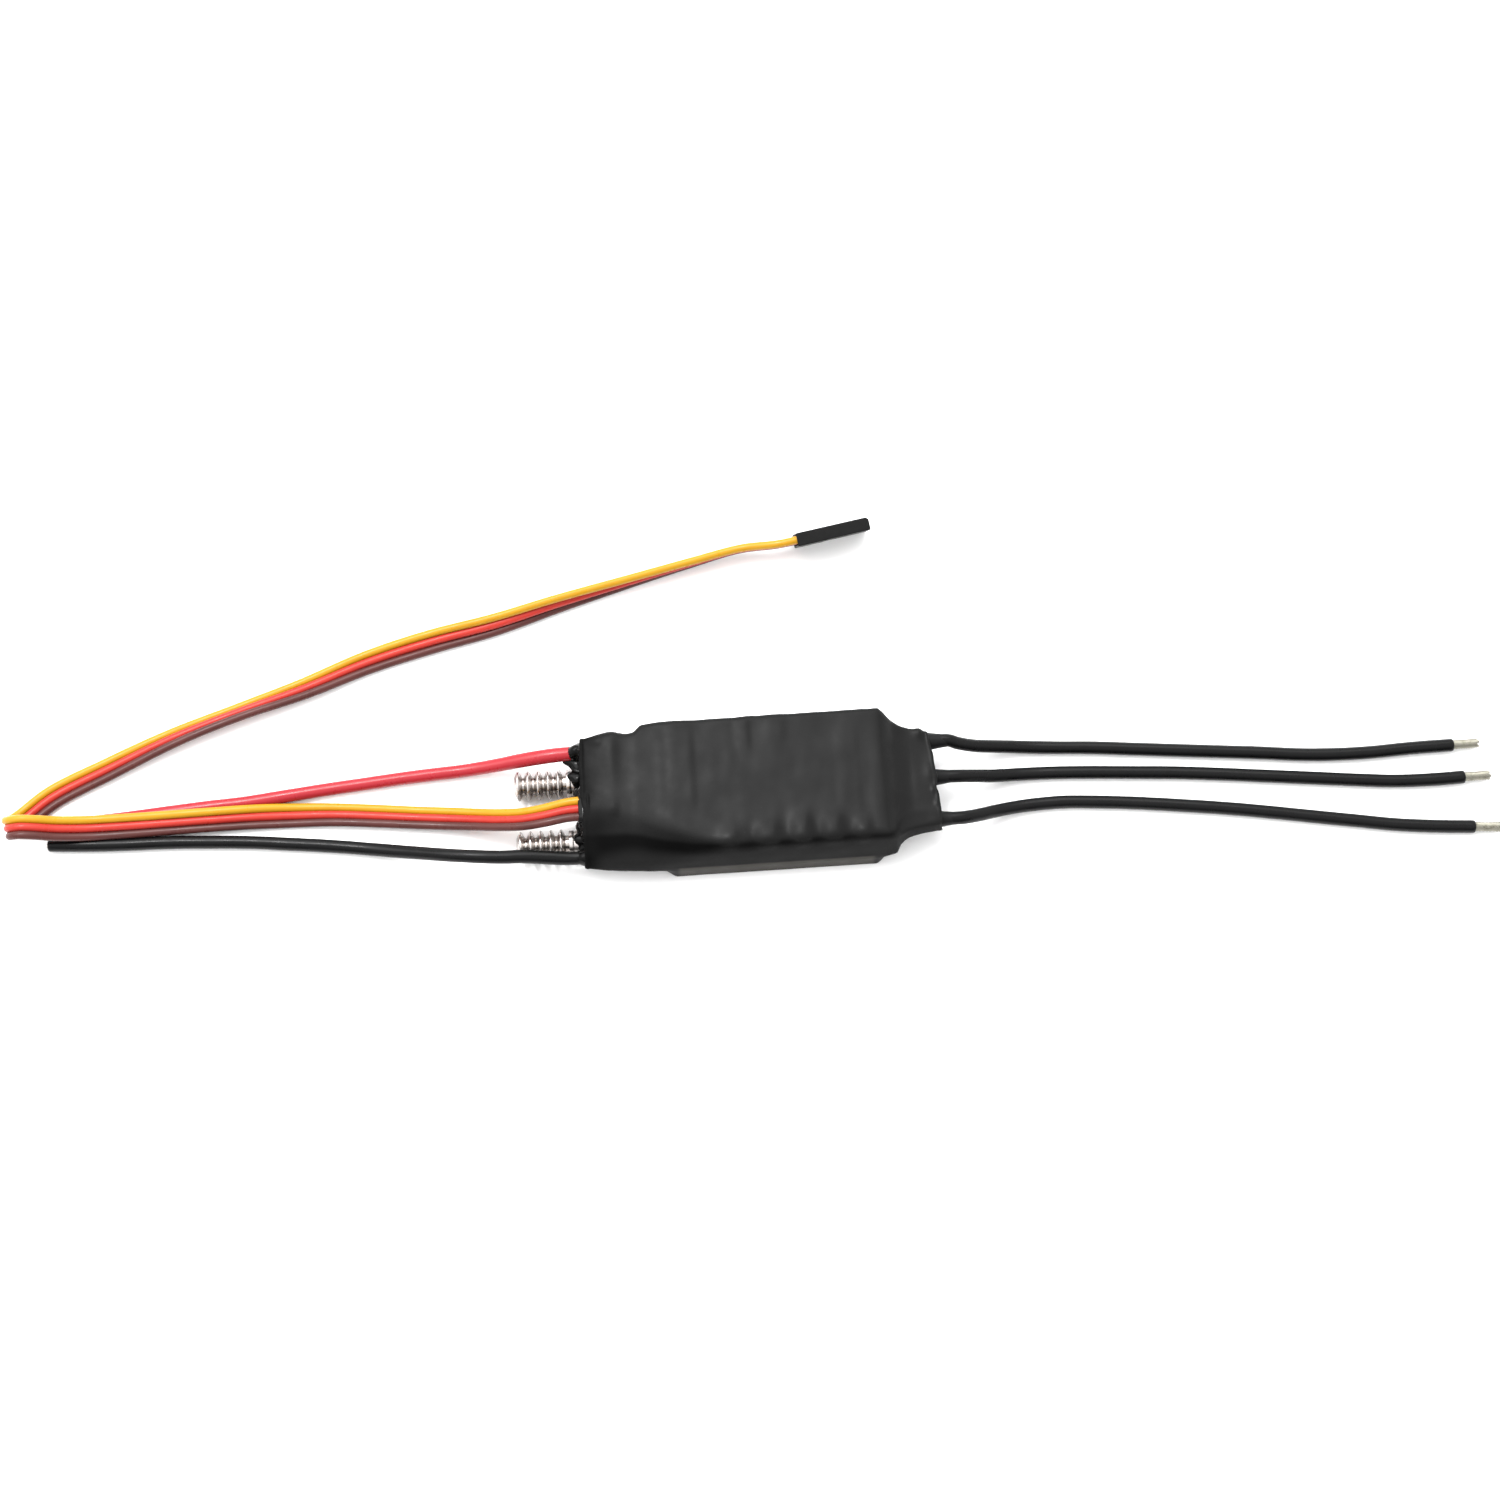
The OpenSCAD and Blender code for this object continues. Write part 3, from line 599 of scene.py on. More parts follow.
# Middle of the ribbon, the heading and tilt of the line across it in degrees, and how far apart its
# wires lie, as in part.scad
RIBBON = [
    [-22, -1.7, 8.5, 90, 0, 1.52], [-26.5, -1.7, 8.5, 90, 0, 1.52], [-29, -1.8, 8.4, 91, -5, 1.52],
    [-33, -2.3, 7.8, 92, -12, 1.52], [-37, -2.4, 6.7, 88, -15, 1.52], [-41.5, -1.7, 4.8, 80, -15, 1.52],
    [-46, -0.7, 2.8, 78, -15, 1.52], [-50.5, 0.1, 1.6, 80, -12, 1.52], [-57, 0.9, 1.1, 83, -12, 1.52],
    [-64, 1.7, 1.05, 84, -11, 1.52], [-72, 2.5, 1, 84, -8, 1.52], [-80, 2.9, 0.9, 87, 5, 1.52],
    [-87, 2.9, 1.6, 90, 22, 1.52], [-95, 2.8, 1.9, 90, 28, 1.52], [-103, 2.6, 2.3, 90, 27, 1.52],
    [-110, 2.4, 2.8, 89, 23, 1.52], [-117, 2.3, 3.3, 88, 18, 1.52], [-122, 2.2, 4.7, 90, 12, 1.52],
    [-125.6, 2.2, 6.3, 91, 4, 1.52], [-127.9, 2.3, 6.75, 93, 0, 1.52], [-129.85, 2.45, 5.9, 97, 0, 1.52],
    [-130.5, 2.75, 4.9, 103, 0, 1.52], [-130.7, 3.15, 3.75, 109, 0, 1.52],
    [-130.5, 3.65, 2.6, 115, 0, 1.52], [-129.9, 4.3, 1.6, 120, 0, 1.52], [-128.7, 5.4, 0.9, 124, 0, 1.52],
    [-123.5, 9.4, 0.75, 118, 0, 1.52], [-113, 14.2, 0.98, 114, -8, 1.52],
    [-101, 19.3, 1.4, 111, -25, 1.52], [-89, 23.4, 1.6, 109, -32, 1.52], [-77, 27.3, 1.2, 109, -15, 1.52],
    [-65, 31.8, 1, 107, 5, 1.52], [-53, 34.9, 1.5, 104, 25, 1.52], [-41, 37.3, 2, 104, 48, 1.52],
    [-29, 40.6, 2.3, 105, 70, 1.52], [-16, 44, 2.3, 105, 90, 1.52], [-4, 47, 2.4, 103, 102, 1.52],
    [6, 49.1, 2.9, 98, 108, 1.52], [12.8, 49.05, 4, 98, 110, 2.15], [17.3, 49.71, 4.1, 100, 110, 2.54],
]
# For each wire its place across the ribbon, its material and its length
SERVO_WIRES = {
    "signal": (1, "pvc_yellow", 272.0),
    "positive": (0, "pvc_red", 271.2),
    "negative": (-1, "pvc_brown", 270.8),
}


def make_ribbon(plug):
    rows = smooth_path(RIBBON, 0.5)
    plan, tilt = np.radians(rows[:, 3]), np.radians(rows[:, 4])
    across = np.stack([np.cos(tilt) * np.cos(plan), np.cos(tilt) * np.sin(plan), np.sin(tilt)], axis=1)
    count = 24
    web_shape = np.abs(np.cos(turn_in_steps(count))) ** 8
    for index, (name, (place, slot, length)) in enumerate(SERVO_WIRES.items()):
        path = rows[:, :3] + place * rows[:, 5:6] * across
        along = distances(path)
        web = 0.03 * np.clip((2.0 - rows[:, 5]) / 0.4, 0, 1)
        uneven = lumps(along, 30 + index, 0.008, 2.3)
        radius = SERVO_D / 2 * (1 + uneven[:, None] + web[:, None] * web_shape)
        wire = piece("ribbon_" + name, *swept(path, radius, across, count), slot)
        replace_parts(wire, "servo_wire_" + name)
        [[v * MM for v in p] for p in path]


# ---- heat-shrink sleeve

# x, then the heights of the bottom, shoulder, knee and top edge, then the half widths there on
# the front side and on the rear side
SECTIONS = np.array([
    [-26, 0.5, 5.6, 8.2, 9.8, 10, 12.2, 11, 4.2, 10, 11.9, 11.5, 10.9],
    [-24, 0.3, 5.6, 8.2, 10.2, 10.4, 12.6, 11.4, 3.4, 10.2, 12.4, 11.9, 11.3],
    [-20.3, 0.3, 5.6, 8.2, 10.4, 10.8, 13.1, 11.8, 2.6, 10.6, 12.9, 12.5, 11.8],
    [-16.4, 0.3, 5.6, 8.3, 10.3, 11.2, 13.4, 12.1, 4.4, 10.8, 12.7, 12.2, 11.6],
    [-14.6, 0.3, 5.4, 8.4, 11, 11.6, 13.5, 12.3, 5.5, 11.2, 13.5, 13.4, 12.8],
    [-12, 0.3, 5.1, 8.5, 11.7, 12, 13.5, 12.4, 7, 11.8, 13.5, 13.4, 12.9],
    [-9.6, 0.05, 5, 8.6, 12, 13.3, 13.5, 12.5, 8.4, 13.3, 13.5, 13.3, 12.8],
    [-5, 0.05, 5, 8.8, 12, 13.3, 13.5, 12.5, 10.4, 13.3, 13.5, 13.3, 12.8],
    [-1, 0.05, 5, 9, 12, 13.3, 13.5, 12.4, 11.2, 13.3, 13.5, 13.3, 12.8],
    [26.6, 0.05, 5, 9, 12, 13.3, 13.5, 12.4, 11.2, 13.3, 13.5, 13.3, 12.8],
    [28.4, 2.4, 5.2, 9.2, 11.95, 12.4, 13.5, 12.4, 11.3, 12.2, 13.4, 13.3, 12.9],
    [29.3, 2.9, 5.4, 9.1, 11.5, 12, 13.4, 12.3, 11.3, 11.4, 12.8, 12.6, 12.3],
    [30.2, 3.2, 5.5, 8.8, 10.7, 11.6, 13.2, 12.1, 11.1, 10.6, 11.9, 11.7, 11.3],
    [31, 3.5, 6, 8.3, 9.9, 10.2, 11.9, 11.2, 10.7, 10, 11.2, 11, 10.7],
    [33, 3.8, 6.2, 7.8, 9.1, 9.3, 10.5, 10.1, 9.6, 9.3, 10.4, 10.1, 9.7],
    [38.5, 3.9, 6.2, 7.6, 8.6, 8.6, 9.4, 9, 8.6, 8.6, 9.4, 9, 8.6],
])
FILM = 0.35
# How much sooner the film ends at the tab's far side, for each millimetre across
TAB_SLANT = 0.085
# How far each corner is rounded, from the rear bottom over the top to the front bottom, and
# how many points the stretch after it has
CORNER_REACH = (0.5, 1.4, 1.6, 1.1, 2.6, 2.4, 0.9, 0.5)
STRETCH_POINTS = (8, 6, 5, 52, 8, 6, 8, 26)
CORNER_POINTS = 7
# The top and knee heights and the front slope change gently along the body, over about this far
TOP_SOFTNESS, TOP_COLUMNS = 1.3, (2, 3, 6, 7)

# What shows through the film: x, y, half length, half width, height, and how steep its edges are if not 1
EMBOSSED = (
    (-20.3, 7.4, 1.6, 4.6, 0.4), (-20.3, -2.3, 1.0, 0.9, 0.3), (-22.6, 10.4, 1.2, 1.0, 0.2),
    (-24.9, -0.6, 0.28, 1.2, 0.2), (-17.6, 11.6, 1.2, 1.2, -0.25), (-12.6, 10.5, 1.8, 1.6, -0.1),
    (-7.8, 4.0, 2.9, 7.9, 0.17, 3.0), (-7.8, 12.6, 2.6, 1.2, 0.1, 1.5), (0.3, -10.4, 1.9, 2.4, 0.56, 1.2),
    (7.5, -10.2, 2.0, 3.0, 0.66, 1.3), (13.4, -9.6, 1.8, 3.4, 0.64, 1.3),
    (19.0, -9.8, 1.9, 3.2, 0.62, 1.4), (24.4, -10.4, 1.5, 2.4, 0.5, 1.2),
    *((x, -11.6, 1.3, 2.6, -0.34) for x in (4.0, 10.6, 16.2, 21.8)), (3.9, 9.9, 1.3, 3.0, 0.19, 1.6),
    (5.3, 12.7, 0.9, 0.9, 0.14), (9.8, 10.6, 2.0, 3.2, 0.15, 1.5), (22.6, 1.4, 2.1, 9.8, 0.07, 2.5),
    (27.4, 1.0, 1.4, 10.6, 0.06, 1.5), (36.4, 8.6, 1.1, 1.2, 0.5), (37.6, -8.0, 1.0, 1.1, 0.32),
    (37.4, 1.0, 0.9, 1.5, 0.2), (37.6, -2.4, 0.4, 0.6, 0.2), (37.9, -5.0, 0.4, 0.6, 0.2),
    (33.6, 0.5, 0.8, 6.5, -0.08),
)


def steady(x, y, at):
    """Monotone cubic curves through the columns of y."""
    h, slope = np.diff(x)[:, None], np.diff(y, axis=0) / np.diff(x)[:, None]
    a, b = slope[:-1], slope[1:]
    rising = a * b > 0
    w, v = 2 * h[1:] + h[:-1], h[1:] + 2 * h[:-1]
    a, b = np.where(rising, a, 1), np.where(rising, b, 1)
    m = np.vstack([slope[:1], np.where(rising, (w + v) / (w / a + v / b), 0), slope[-1:]])
    i = np.clip(np.searchsorted(x, at, side="right") - 1, 0, len(x) - 2)
    t = (at - x[i])[:, None] / h[i]
    rise = t * (1 - t) * h[i] * ((1 - t) * m[i] - t * m[i + 1])
    return y[i] * (1 + 2 * t) * (1 - t) ** 2 + y[i + 1] * t * t * (3 - 2 * t) + rise


def outlines(at):
    """Rounded sleeve outlines at a list of x: one row of [x, y, z] points for each."""
    fine = np.arange(MOUTH - 6, TAB_END + 6.1, 0.1)
    rows = steady(SECTIONS[:, 0], SECTIONS[:, 1:], np.clip(fine, MOUTH, TAB_END))
    spread = np.exp(-(np.arange(-60, 61) / (10 * TOP_SOFTNESS)) ** 2 / 2)
    share = 0.75 * np.clip((12 - fine[60:-60]) / 10, 0, 1) + 0.2
    for column in TOP_COLUMNS:
        soft = np.convolve(rows[:, column], spread / spread.sum(), mode="same")[60:-60]
        rows[60:-60, column] += share * (soft - rows[60:-60, column])
    rows = np.stack([np.interp(at, fine, column) for column in rows.T], axis=1)
    high, front, rear = rows[:, 0:4], rows[:, 4:8], rows[:, 8:12]
    corners = np.concatenate([
        np.stack([rear, high], axis=2), np.stack([-front[:, ::-1], high[:, ::-1]], axis=2)
    ], axis=1)
    before, after = np.roll(corners, 1, axis=1), np.roll(corners, -1, axis=1)
    gap_a = np.linalg.norm(before - corners, axis=2, keepdims=True)
    gap_b = np.linalg.norm(after - corners, axis=2, keepdims=True)
    reach = np.minimum(np.array(CORNER_REACH)[None, :, None], np.minimum(gap_a, gap_b) / 2.2)
    start = corners + reach * (before - corners) / gap_a
    end = corners + reach * (after - corners) / gap_b
    columns = []
    for k, many in enumerate(STRETCH_POINTS):
        for t in np.linspace(0, 1, CORNER_POINTS):
            columns.append((1 - t) ** 2 * start[:, k] + 2 * t * (1 - t) * corners[:, k] + t * t * end[:, k])
        following = start[:, (k + 1) % len(STRETCH_POINTS)]
        for t in np.linspace(0, 1, many + 2)[1:-1]:
            columns.append((1 - t) * end[:, k] + t * following)
    ring = np.stack(columns, axis=1)
    return np.concatenate([np.broadcast_to(at[:, None, None], (*ring.shape[:2], 1)), ring], axis=2)


def grid_normals(grid):
    """Normals of rows of closed rings, pointing away from each ring's middle."""
    along = np.gradient(grid, axis=0)
    round_it = np.roll(grid, -1, axis=1) - np.roll(grid, 1, axis=1)
    n = unit(np.cross(along, round_it))
    out = grid - grid.mean(axis=1, keepdims=True)
    return n * np.sign((n * out).sum(axis=(1, 2)))[:, None, None]


def ripple(a, b, seed, size, amount):
    """Smooth random waves over two coordinates, of about a size in millimetres."""
    r = np.random.default_rng(seed)
    total = np.zeros(np.broadcast(a, b).shape)
    for _ in range(14):
        turn, stretch = r.uniform(0, math.pi), r.uniform(0.7, 1.6)
        across = a * math.cos(turn) + b * math.sin(turn)
        total += np.sin(math.tau * across / (size * stretch) + r.uniform(0, 6.3))
    return amount * total / math.sqrt(14)


def pad(dx, dy, steep=1.0):
    """1 in the middle of an embossed place and 0 outside it; the edges get steeper with steep."""
    return np.exp(-(np.abs(dx) ** (2 * steep)) - np.abs(dy) ** (2 * steep))


def fading(distance, reach):
    """1 at no distance, down to 0 at the reach."""
    return np.clip(1 - distance / reach, 0, 1)


def embossed_film(grid):
    n = grid_normals(grid)
    x, y, z = grid[..., 0], grid[..., 1], grid[..., 2]
    upward = np.clip((n[..., 2] + 0.1) / 0.4, 0, 1)
    lift = np.zeros_like(x)
    for cx, cy, lx, ly, height, *steep in EMBOSSED:
        lift += height * pad((x - cx) / np.where(x > cx, 0.78 * lx, 1.15 * lx), (y - cy) / ly, *steep)
    lift *= upward * np.clip((y + 12.1) / 1.3, 0, 1)
    over_block = np.clip((x + 10.5) / 1.5, 0, 1) * np.clip((27 - x) / 1.5, 0, 1) * np.clip(6 - z, 0, 1)
    lift += ripple(x, y + z, 3, 9.0, 0.035) * (1 - 0.8 * over_block)
    lift += ripple(x, 0.4 * (y + z), 4, 2.6, 0.012) * (1 - over_block)
    turn = np.arctan2(z - 5, y)
    from_mouth, from_end = x - MOUTH, TAB_END - x
    lip = 0.75 + 0.4 * np.sin(2 * turn + 0.6) + 0.2 * np.sin(5 * turn)
    lift += 0.16 * lip * np.exp(-(((from_mouth - 0.3) / 0.34) ** 2))
    pucker = np.sin(17 * turn) * 0.5 + np.sin(29 * turn + 1) * 0.3
    lift += 0.05 * pucker * (np.exp(-from_mouth / 1.6) + np.exp(-from_end / 1.4))
    lift += 0.1 * np.exp(-(((from_end - 0.3) / 0.3) ** 2))
    moved = grid + n * lift[..., None]
    ragged = 0.16 * np.sin(3 * turn + 1.1) + 0.1 * np.sin(7 * turn) + 0.05 * np.sin(16 * turn)
    moved[..., 0] += ragged * (fading(from_mouth, 1.6) ** 2 - fading(from_end, 1.6) ** 2)
    moved[..., 0] -= TAB_SLANT * np.clip(y + 4, 0, 12) * fading(from_end, 5)
    moved[..., 2] = np.maximum(moved[..., 2], 0.01)
    return moved


def make_sleeve():
    ends = np.linspace(MOUTH, -24.4, 14), np.linspace(36.8, TAB_END, 14)
    outer = embossed_film(outlines(np.concatenate([ends[0], np.arange(-24.1, 36.7, 0.34), ends[1]])))
    n = grid_normals(outer)
    inner = outer - FILM * n
    inner[..., 2] = np.maximum(inner[..., 2], FILM)
    turns = np.linspace(0, math.pi, 7)[1:-1]
    rims = []
    for end, way in ((-1, 1.0), (0, -1.0)):
        middle, half = (outer[end] + inner[end]) / 2, (outer[end] - inner[end]) / 2
        out = np.array([way * FILM / 2, 0, 0])
        rims.append([middle + half * math.cos(a) + out * math.sin(a) for a in turns])
    rings = np.concatenate([outer, rims[0], inner[::-2], rims[1][::-1]])
    faces = grid_faces(len(rings), rings.shape[1], closed=True)
    film = piece("sleeve_film", rings.reshape(-1, 3), faces, "shrink_film")
    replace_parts(film, "heat_shrink_sleeve")


make_sleeve()

# ---- water nipples

NIPPLES = {"water_nipple_inlet": 5.0, "water_nipple_outlet": -6.5}
NIPPLE_Z = 2.8
TIP, COLLAR_START, COLLAR_END, SHANK_END = -38.5, -28.95, -25.0, -5.0
CORE_R, RIB_R, COLLAR_R, SHANK_R, BORE_R = 1.6, 2.75, 2.45, 2.0, 1.0
RIB_PITCH, RIB_WIDTH = 1.85, 0.84


def turned(profile, foot, count, upright=False):
    """Solid of revolution about a line along X or along Z, from a closed outline of [distance, radius]."""
    a = turn_in_steps(count)
    x, r = np.array(profile, float).T
    rings = [np.broadcast_to(x[:, None], (len(x), count)), r[:, None] * np.cos(a), r[:, None] * np.sin(a)]
    rings = np.stack(rings[1:] + rings[:1] if upright else rings, axis=2) + foot
    return rings.reshape(-1, 3), grid_faces(len(x), count, closed=True)


def make_nipples():
    x = np.concatenate([[TIP + 0.02], np.arange(TIP + 0.05, COLLAR_START, 0.055)])
    r = np.full_like(x, CORE_R)
    for k in range(5):
        off = np.clip(((x - TIP) / RIB_PITCH - k - 0.4) / RIB_WIDTH, -0.5, 0.5)
        r += (RIB_R - CORE_R) * (0.5 + 0.5 * np.cos(math.tau * off)) ** 0.7
    r[0] -= 0.06
    bevel, groove = 0.12, 0.05
    profile = [
        *zip(x, r),
        (COLLAR_START, CORE_R), (COLLAR_START, COLLAR_R - bevel), (COLLAR_START + 0.04, COLLAR_R - 0.04),
        (COLLAR_START + bevel, COLLAR_R), (-28.1, COLLAR_R), (-28.05, COLLAR_R - groove),
        (-27.95, COLLAR_R - groove), (-27.9, COLLAR_R), (COLLAR_END - 0.05, COLLAR_R),
        (COLLAR_END, COLLAR_R - 0.05), (COLLAR_END, SHANK_R), (-15, SHANK_R), (SHANK_END - 0.3, SHANK_R),
        (SHANK_END, SHANK_R - 0.3), (SHANK_END, BORE_R), (-20, BORE_R), (TIP + 0.2, BORE_R),
        (TIP + 0.05, BORE_R + 0.1), (TIP, BORE_R + 0.2), (TIP, CORE_R - 0.15),
    ]
    for name, y in NIPPLES.items():
        solid = turned(profile, (0, y, NIPPLE_Z), 80)
        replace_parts(piece("turned_" + name, *solid, "nipple_aluminium"), name)


make_nipples()

# ---- solids made from signed distances


def surface(field, low, high, step):
    """Mesh of the places where a field of signed distances is zero, inside a box."""
    axes = [np.arange(a, b + step, step) for a, b in zip(low, high)]
    d = field(*np.meshgrid(*axes, indexing="ij"))
    cells = tuple(n - 1 for n in d.shape)
    total, count = np.zeros((*cells, 3)), np.zeros(cells)
    steps = np.eye(3, dtype=int)

    def corner(offset):
        return d[tuple(slice(o, o + n) for o, n in zip(offset, cells))]

    for axis in range(3):
        others = [k for k in range(3) if k != axis]
        for i in range(2):
            for j in range(2):
                foot = i * steps[others[0]] + j * steps[others[1]]
                a, b = corner(foot), corner(foot + steps[axis])
                cut = (a < 0) != (b < 0)
                share = np.where(cut, a / np.where(cut, a - b, 1), 0)
                total += cut[..., None] * (foot + share[..., None] * steps[axis])
                count += cut
    used = count > 0
    index = np.full(cells, -1)
    index[used] = np.arange(used.sum())
    vertices = np.array(low) + step * (np.argwhere(used) + total[used] / count[used][:, None])
    faces = []
    for axis in range(3):
        u, v = steps[(axis + 1) % 3], steps[(axis + 2) % 3]
        inner = tuple(slice(0, -1) if k == axis else slice(1, -1) for k in range(3))
        ahead = tuple(slice(1, None) if k == axis else slice(1, -1) for k in range(3))
        a, b = d[inner] < 0, d[ahead] < 0
        for places, flip in ((np.argwhere(a & ~b), False), (np.argwhere(~a & b), True)):
            places = places + 1 - steps[axis]
            quad = [index[tuple((places - o).T)] for o in (0 * u, u, u + v, v)]
            faces += np.stack(quad[::-1] if flip else quad, axis=1).tolist()
    return vertices, faces


def blend(a, b, soft):
    """Union of two signed distances with a fillet about as large as soft."""
    h = np.clip(0.5 + 0.5 * (b - a) / soft, 0, 1)
    return b * (1 - h) + a * h - soft * h * (1 - h)


def rounded_box(x, y, z, low, high, r):
    """Signed distance to a box with rounded edges."""
    q = [np.abs(v - (a + b) / 2) - (b - a) / 2 + r for v, a, b in zip((x, y, z), low, high)]
    inside = np.minimum(np.maximum(np.maximum(q[0], q[1]), q[2]), 0)
    return np.sqrt(sum(np.maximum(v, 0) ** 2 for v in q)) + inside - r


# Servo plug, in its own frame: X along it from the middle of its rear face, Z towards the signal contact
PLUG_REAR, PLUG_HEADING, PLUG_LEAN = np.array([16.3, 49.53, 4.1]), math.radians(10), math.radians(20)
PLUG_L, PLUG_T, PLUG_H, CONTACT_PITCH = 14.0, 2.5, 7.62, 2.54


def plug_body(x, y, z):
    d = rounded_box(x, y, z, (0, -PLUG_T / 2, -PLUG_H / 2), (PLUG_L, PLUG_T / 2, PLUG_H / 2), 0.15)
    d = np.minimum(d, rounded_box(x, y, z, (0, -1.3, -PLUG_H / 2), (0.4 * PLUG_L, 1.55, PLUG_H / 2), 0.15))
    d = np.maximum(d, np.hypot(np.maximum(x - 13.2, 0), np.maximum(y - 0.45, 0)) - 0.8)
    for k in (-1, 0, 1):
        off = z - k * CONTACT_PITCH
        cavity = rounded_box(x, y, off, (-1, -0.95, -0.95), (12.8, 0.95, 0.95), 0.1)
        hole = np.maximum(np.abs(y), np.abs(off)) - 0.45 - 0.5 * np.clip(x - 13.6, 0, 0.4)
        window = rounded_box(x, y, off, (7.2, -2, -0.7), (9.6, 0, 0.7), 0.1)
        latch = rounded_box(x, y, off, (7.0, -1.25, -0.42), (9.0, -0.95, 0.42), 0.08)
        d = np.minimum(np.maximum(d, -np.minimum(np.minimum(cavity, hole), window)), latch)
    return d


def rotated(a, b, angle):
    return a * math.cos(angle) - b * math.sin(angle), a * math.sin(angle) + b * math.cos(angle)


def make_plug():
    points, faces = surface(plug_body, (-0.3, -1.7, -4.1), (14.3, 1.9, 4.1), 0.13)
    x, y, z = points.T
    y, z = rotated(y, z, PLUG_LEAN)
    x, y = rotated(x, y, PLUG_HEADING)
    points = PLUG_REAR + np.stack([x, y, z], axis=1)
    plug = piece("plug_body", points, faces, "plug_plastic")
    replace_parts(plug, "servo_plug_housing")
    return plug


make_ribbon(make_plug())


def inside_outline(section, inset, y, z):
    """Signed distance to a sleeve section drawn in by an inset."""
    high, front, rear = section[1:5], section[5:9], section[9:13]
    ring = [*zip(rear, high), *zip(-front[::-1], high[::-1])]
    d = np.full(np.shape(y), -1e3)
    for (ay, az), (by, bz) in zip(ring, ring[1:] + ring[:1]):
        length = math.hypot(by - ay, bz - az)
        d = np.maximum(d, ((y - ay) * (bz - az) - (z - az) * (by - ay)) / length)
    return d + inset


# Lumps of glue on the nipples and beside the red lead: x, y, z, radius
BLOBS = (
    (-27.5, 5.6, 4.75, 1.05), (-26.8, 5.0, 4.6, 1.5), (-28.2, 5.5, 4.95, 0.55), (-26.7, 3.4, 3.9, 1.15),
    (-26.6, 7.2, 4.6, 1.2), (-27.3, 8.1, 4.7, 1.0), (-28.1, 8.45, 4.8, 0.72), (-28.9, 8.55, 4.8, 0.5),
    (-26.8, 9.9, 6.6, 1.2), (-26.4, 10.5, 5.6, 1.2), (-27.5, 9.8, 5.9, 1.1), (-26.6, -6.4, 4.6, 1.45),
    (-27.3, -6.3, 4.85, 0.85), (-26.2, -8.2, 4.2, 1.2), (-26.3, -4.2, 5.4, 1.3), (-26.2, 1.6, 6.4, 1.5),
    (-26.3, -10.2, 6.4, 0.9), (-25.9, 1.5, 8.5, 0.9), (-25.9, -4.9, 7.6, 1.0),
)


# What comes out of the glue at the input: y, z, radius, length of the glue's cone on it, and the radius
# of its hole in the glue as far in as a nipple's collar reaches, and beyond
THROUGH_GLUE = (
    (*LEADS["power_wire_positive"][1][1:], WIRE_D / 2, 2.5, 1.18, 1.18),
    (*LEADS["power_wire_negative"][1][1:], WIRE_D / 2, 2.0, 1.17, 1.17),
    (NIPPLES["water_nipple_inlet"], NIPPLE_Z, COLLAR_R, 1.1, COLLAR_R + 0.01, SHANK_R + 0.01),
    (NIPPLES["water_nipple_outlet"], NIPPLE_Z, COLLAR_R, 1.0, COLLAR_R + 0.01, SHANK_R + 0.01),
)


def input_glue(x, y, z):
    fill = np.maximum(inside_outline(SECTIONS[0], FILM + 0.07, y, z), x + 23.4)
    dome = -26.1 + 0.35 * np.sin(0.9 * y + 0.8) * np.cos(0.5 * z) - x
    d = -blend(-fill, -dome, 0.5)
    for cx, cy, cz, r in BLOBS:
        d = blend(d, np.sqrt((x - cx) ** 2 + (y - cy) ** 2 + (z - cz) ** 2) - r, 0.55)
    for cy, cz, r, length, *_ in THROUGH_GLUE:
        t = np.clip((MOUTH - x) / length, 0, 1)
        cone = np.maximum(np.hypot(y - cy, z - cz) - r - 0.55 * (1 - t) ** 1.5 - 0.02, MOUTH - length - x)
        d = blend(d, np.maximum(cone, x + 25), 0.35)
    slot = np.hypot(np.maximum(np.abs(y - RIBBON_EXIT_Y) - 1.7, 0), z - RIBBON_EXIT_Z)
    slot -= 0.85 + 0.25 * np.clip(x + 27, 0, 1)
    d = blend(d, np.maximum(np.maximum(slot, x + 25), -26.8 - x), 0.5)
    d += ripple(x, y + 0.7 * z, 9, 2.4, 0.03)
    d = np.maximum(d, 0.02 - z)
    for cy, cz, _, _, outer, inner in THROUGH_GLUE:
        off = np.hypot(y - cy, z - cz)
        d = np.maximum(np.maximum(d, np.minimum(outer - off, COLLAR_END - x)), inner - off)
    for place in (-1, 0, 1):
        d = np.maximum(d, 0.76 - np.hypot(y - RIBBON_EXIT_Y - place * SERVO_PITCH, z - RIBBON_EXIT_Z))
    return d


def output_glue(x, y, z):
    d = np.maximum(inside_outline(SECTIONS[-1], FILM + 0.07, y, z), 36.55 - x)
    dome = x - 38.3 + TAB_SLANT * np.clip(y + 4, 0, 12) - 0.2 * np.sin(1.3 * y) * np.cos(0.9 * z)
    d = -blend(-d, -dome, 0.4) + ripple(x, y + 0.7 * z, 12, 2.2, 0.03)
    for name in TINNED_ENDS:
        _, cy, cz = LEADS[name][1]
        d = np.maximum(d, 1.16 - np.hypot(y - cy, z - cz))
    return d


def make_glue():
    solid = surface(input_glue, (-30.2, -12.2, -0.2), (-23.1, 12.2, 10.3), 0.15)
    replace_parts(piece("glue_at_input", *solid, "glue_black"), "input_end_potting")
    solid = surface(output_glue, (36.2, -9.8, 3.6), (39.2, 9.8, 9.2), 0.16)
    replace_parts(piece("glue_at_output", *solid, "glue_dull", "glue_black"), "output_end_potting")


make_glue()

# ---- details of the electronics inside

BOARD_TOP, CONTROL_TOP, FET_FOOT = 7.7, 10.4, 6.6
PIN_PITCH = 1.27
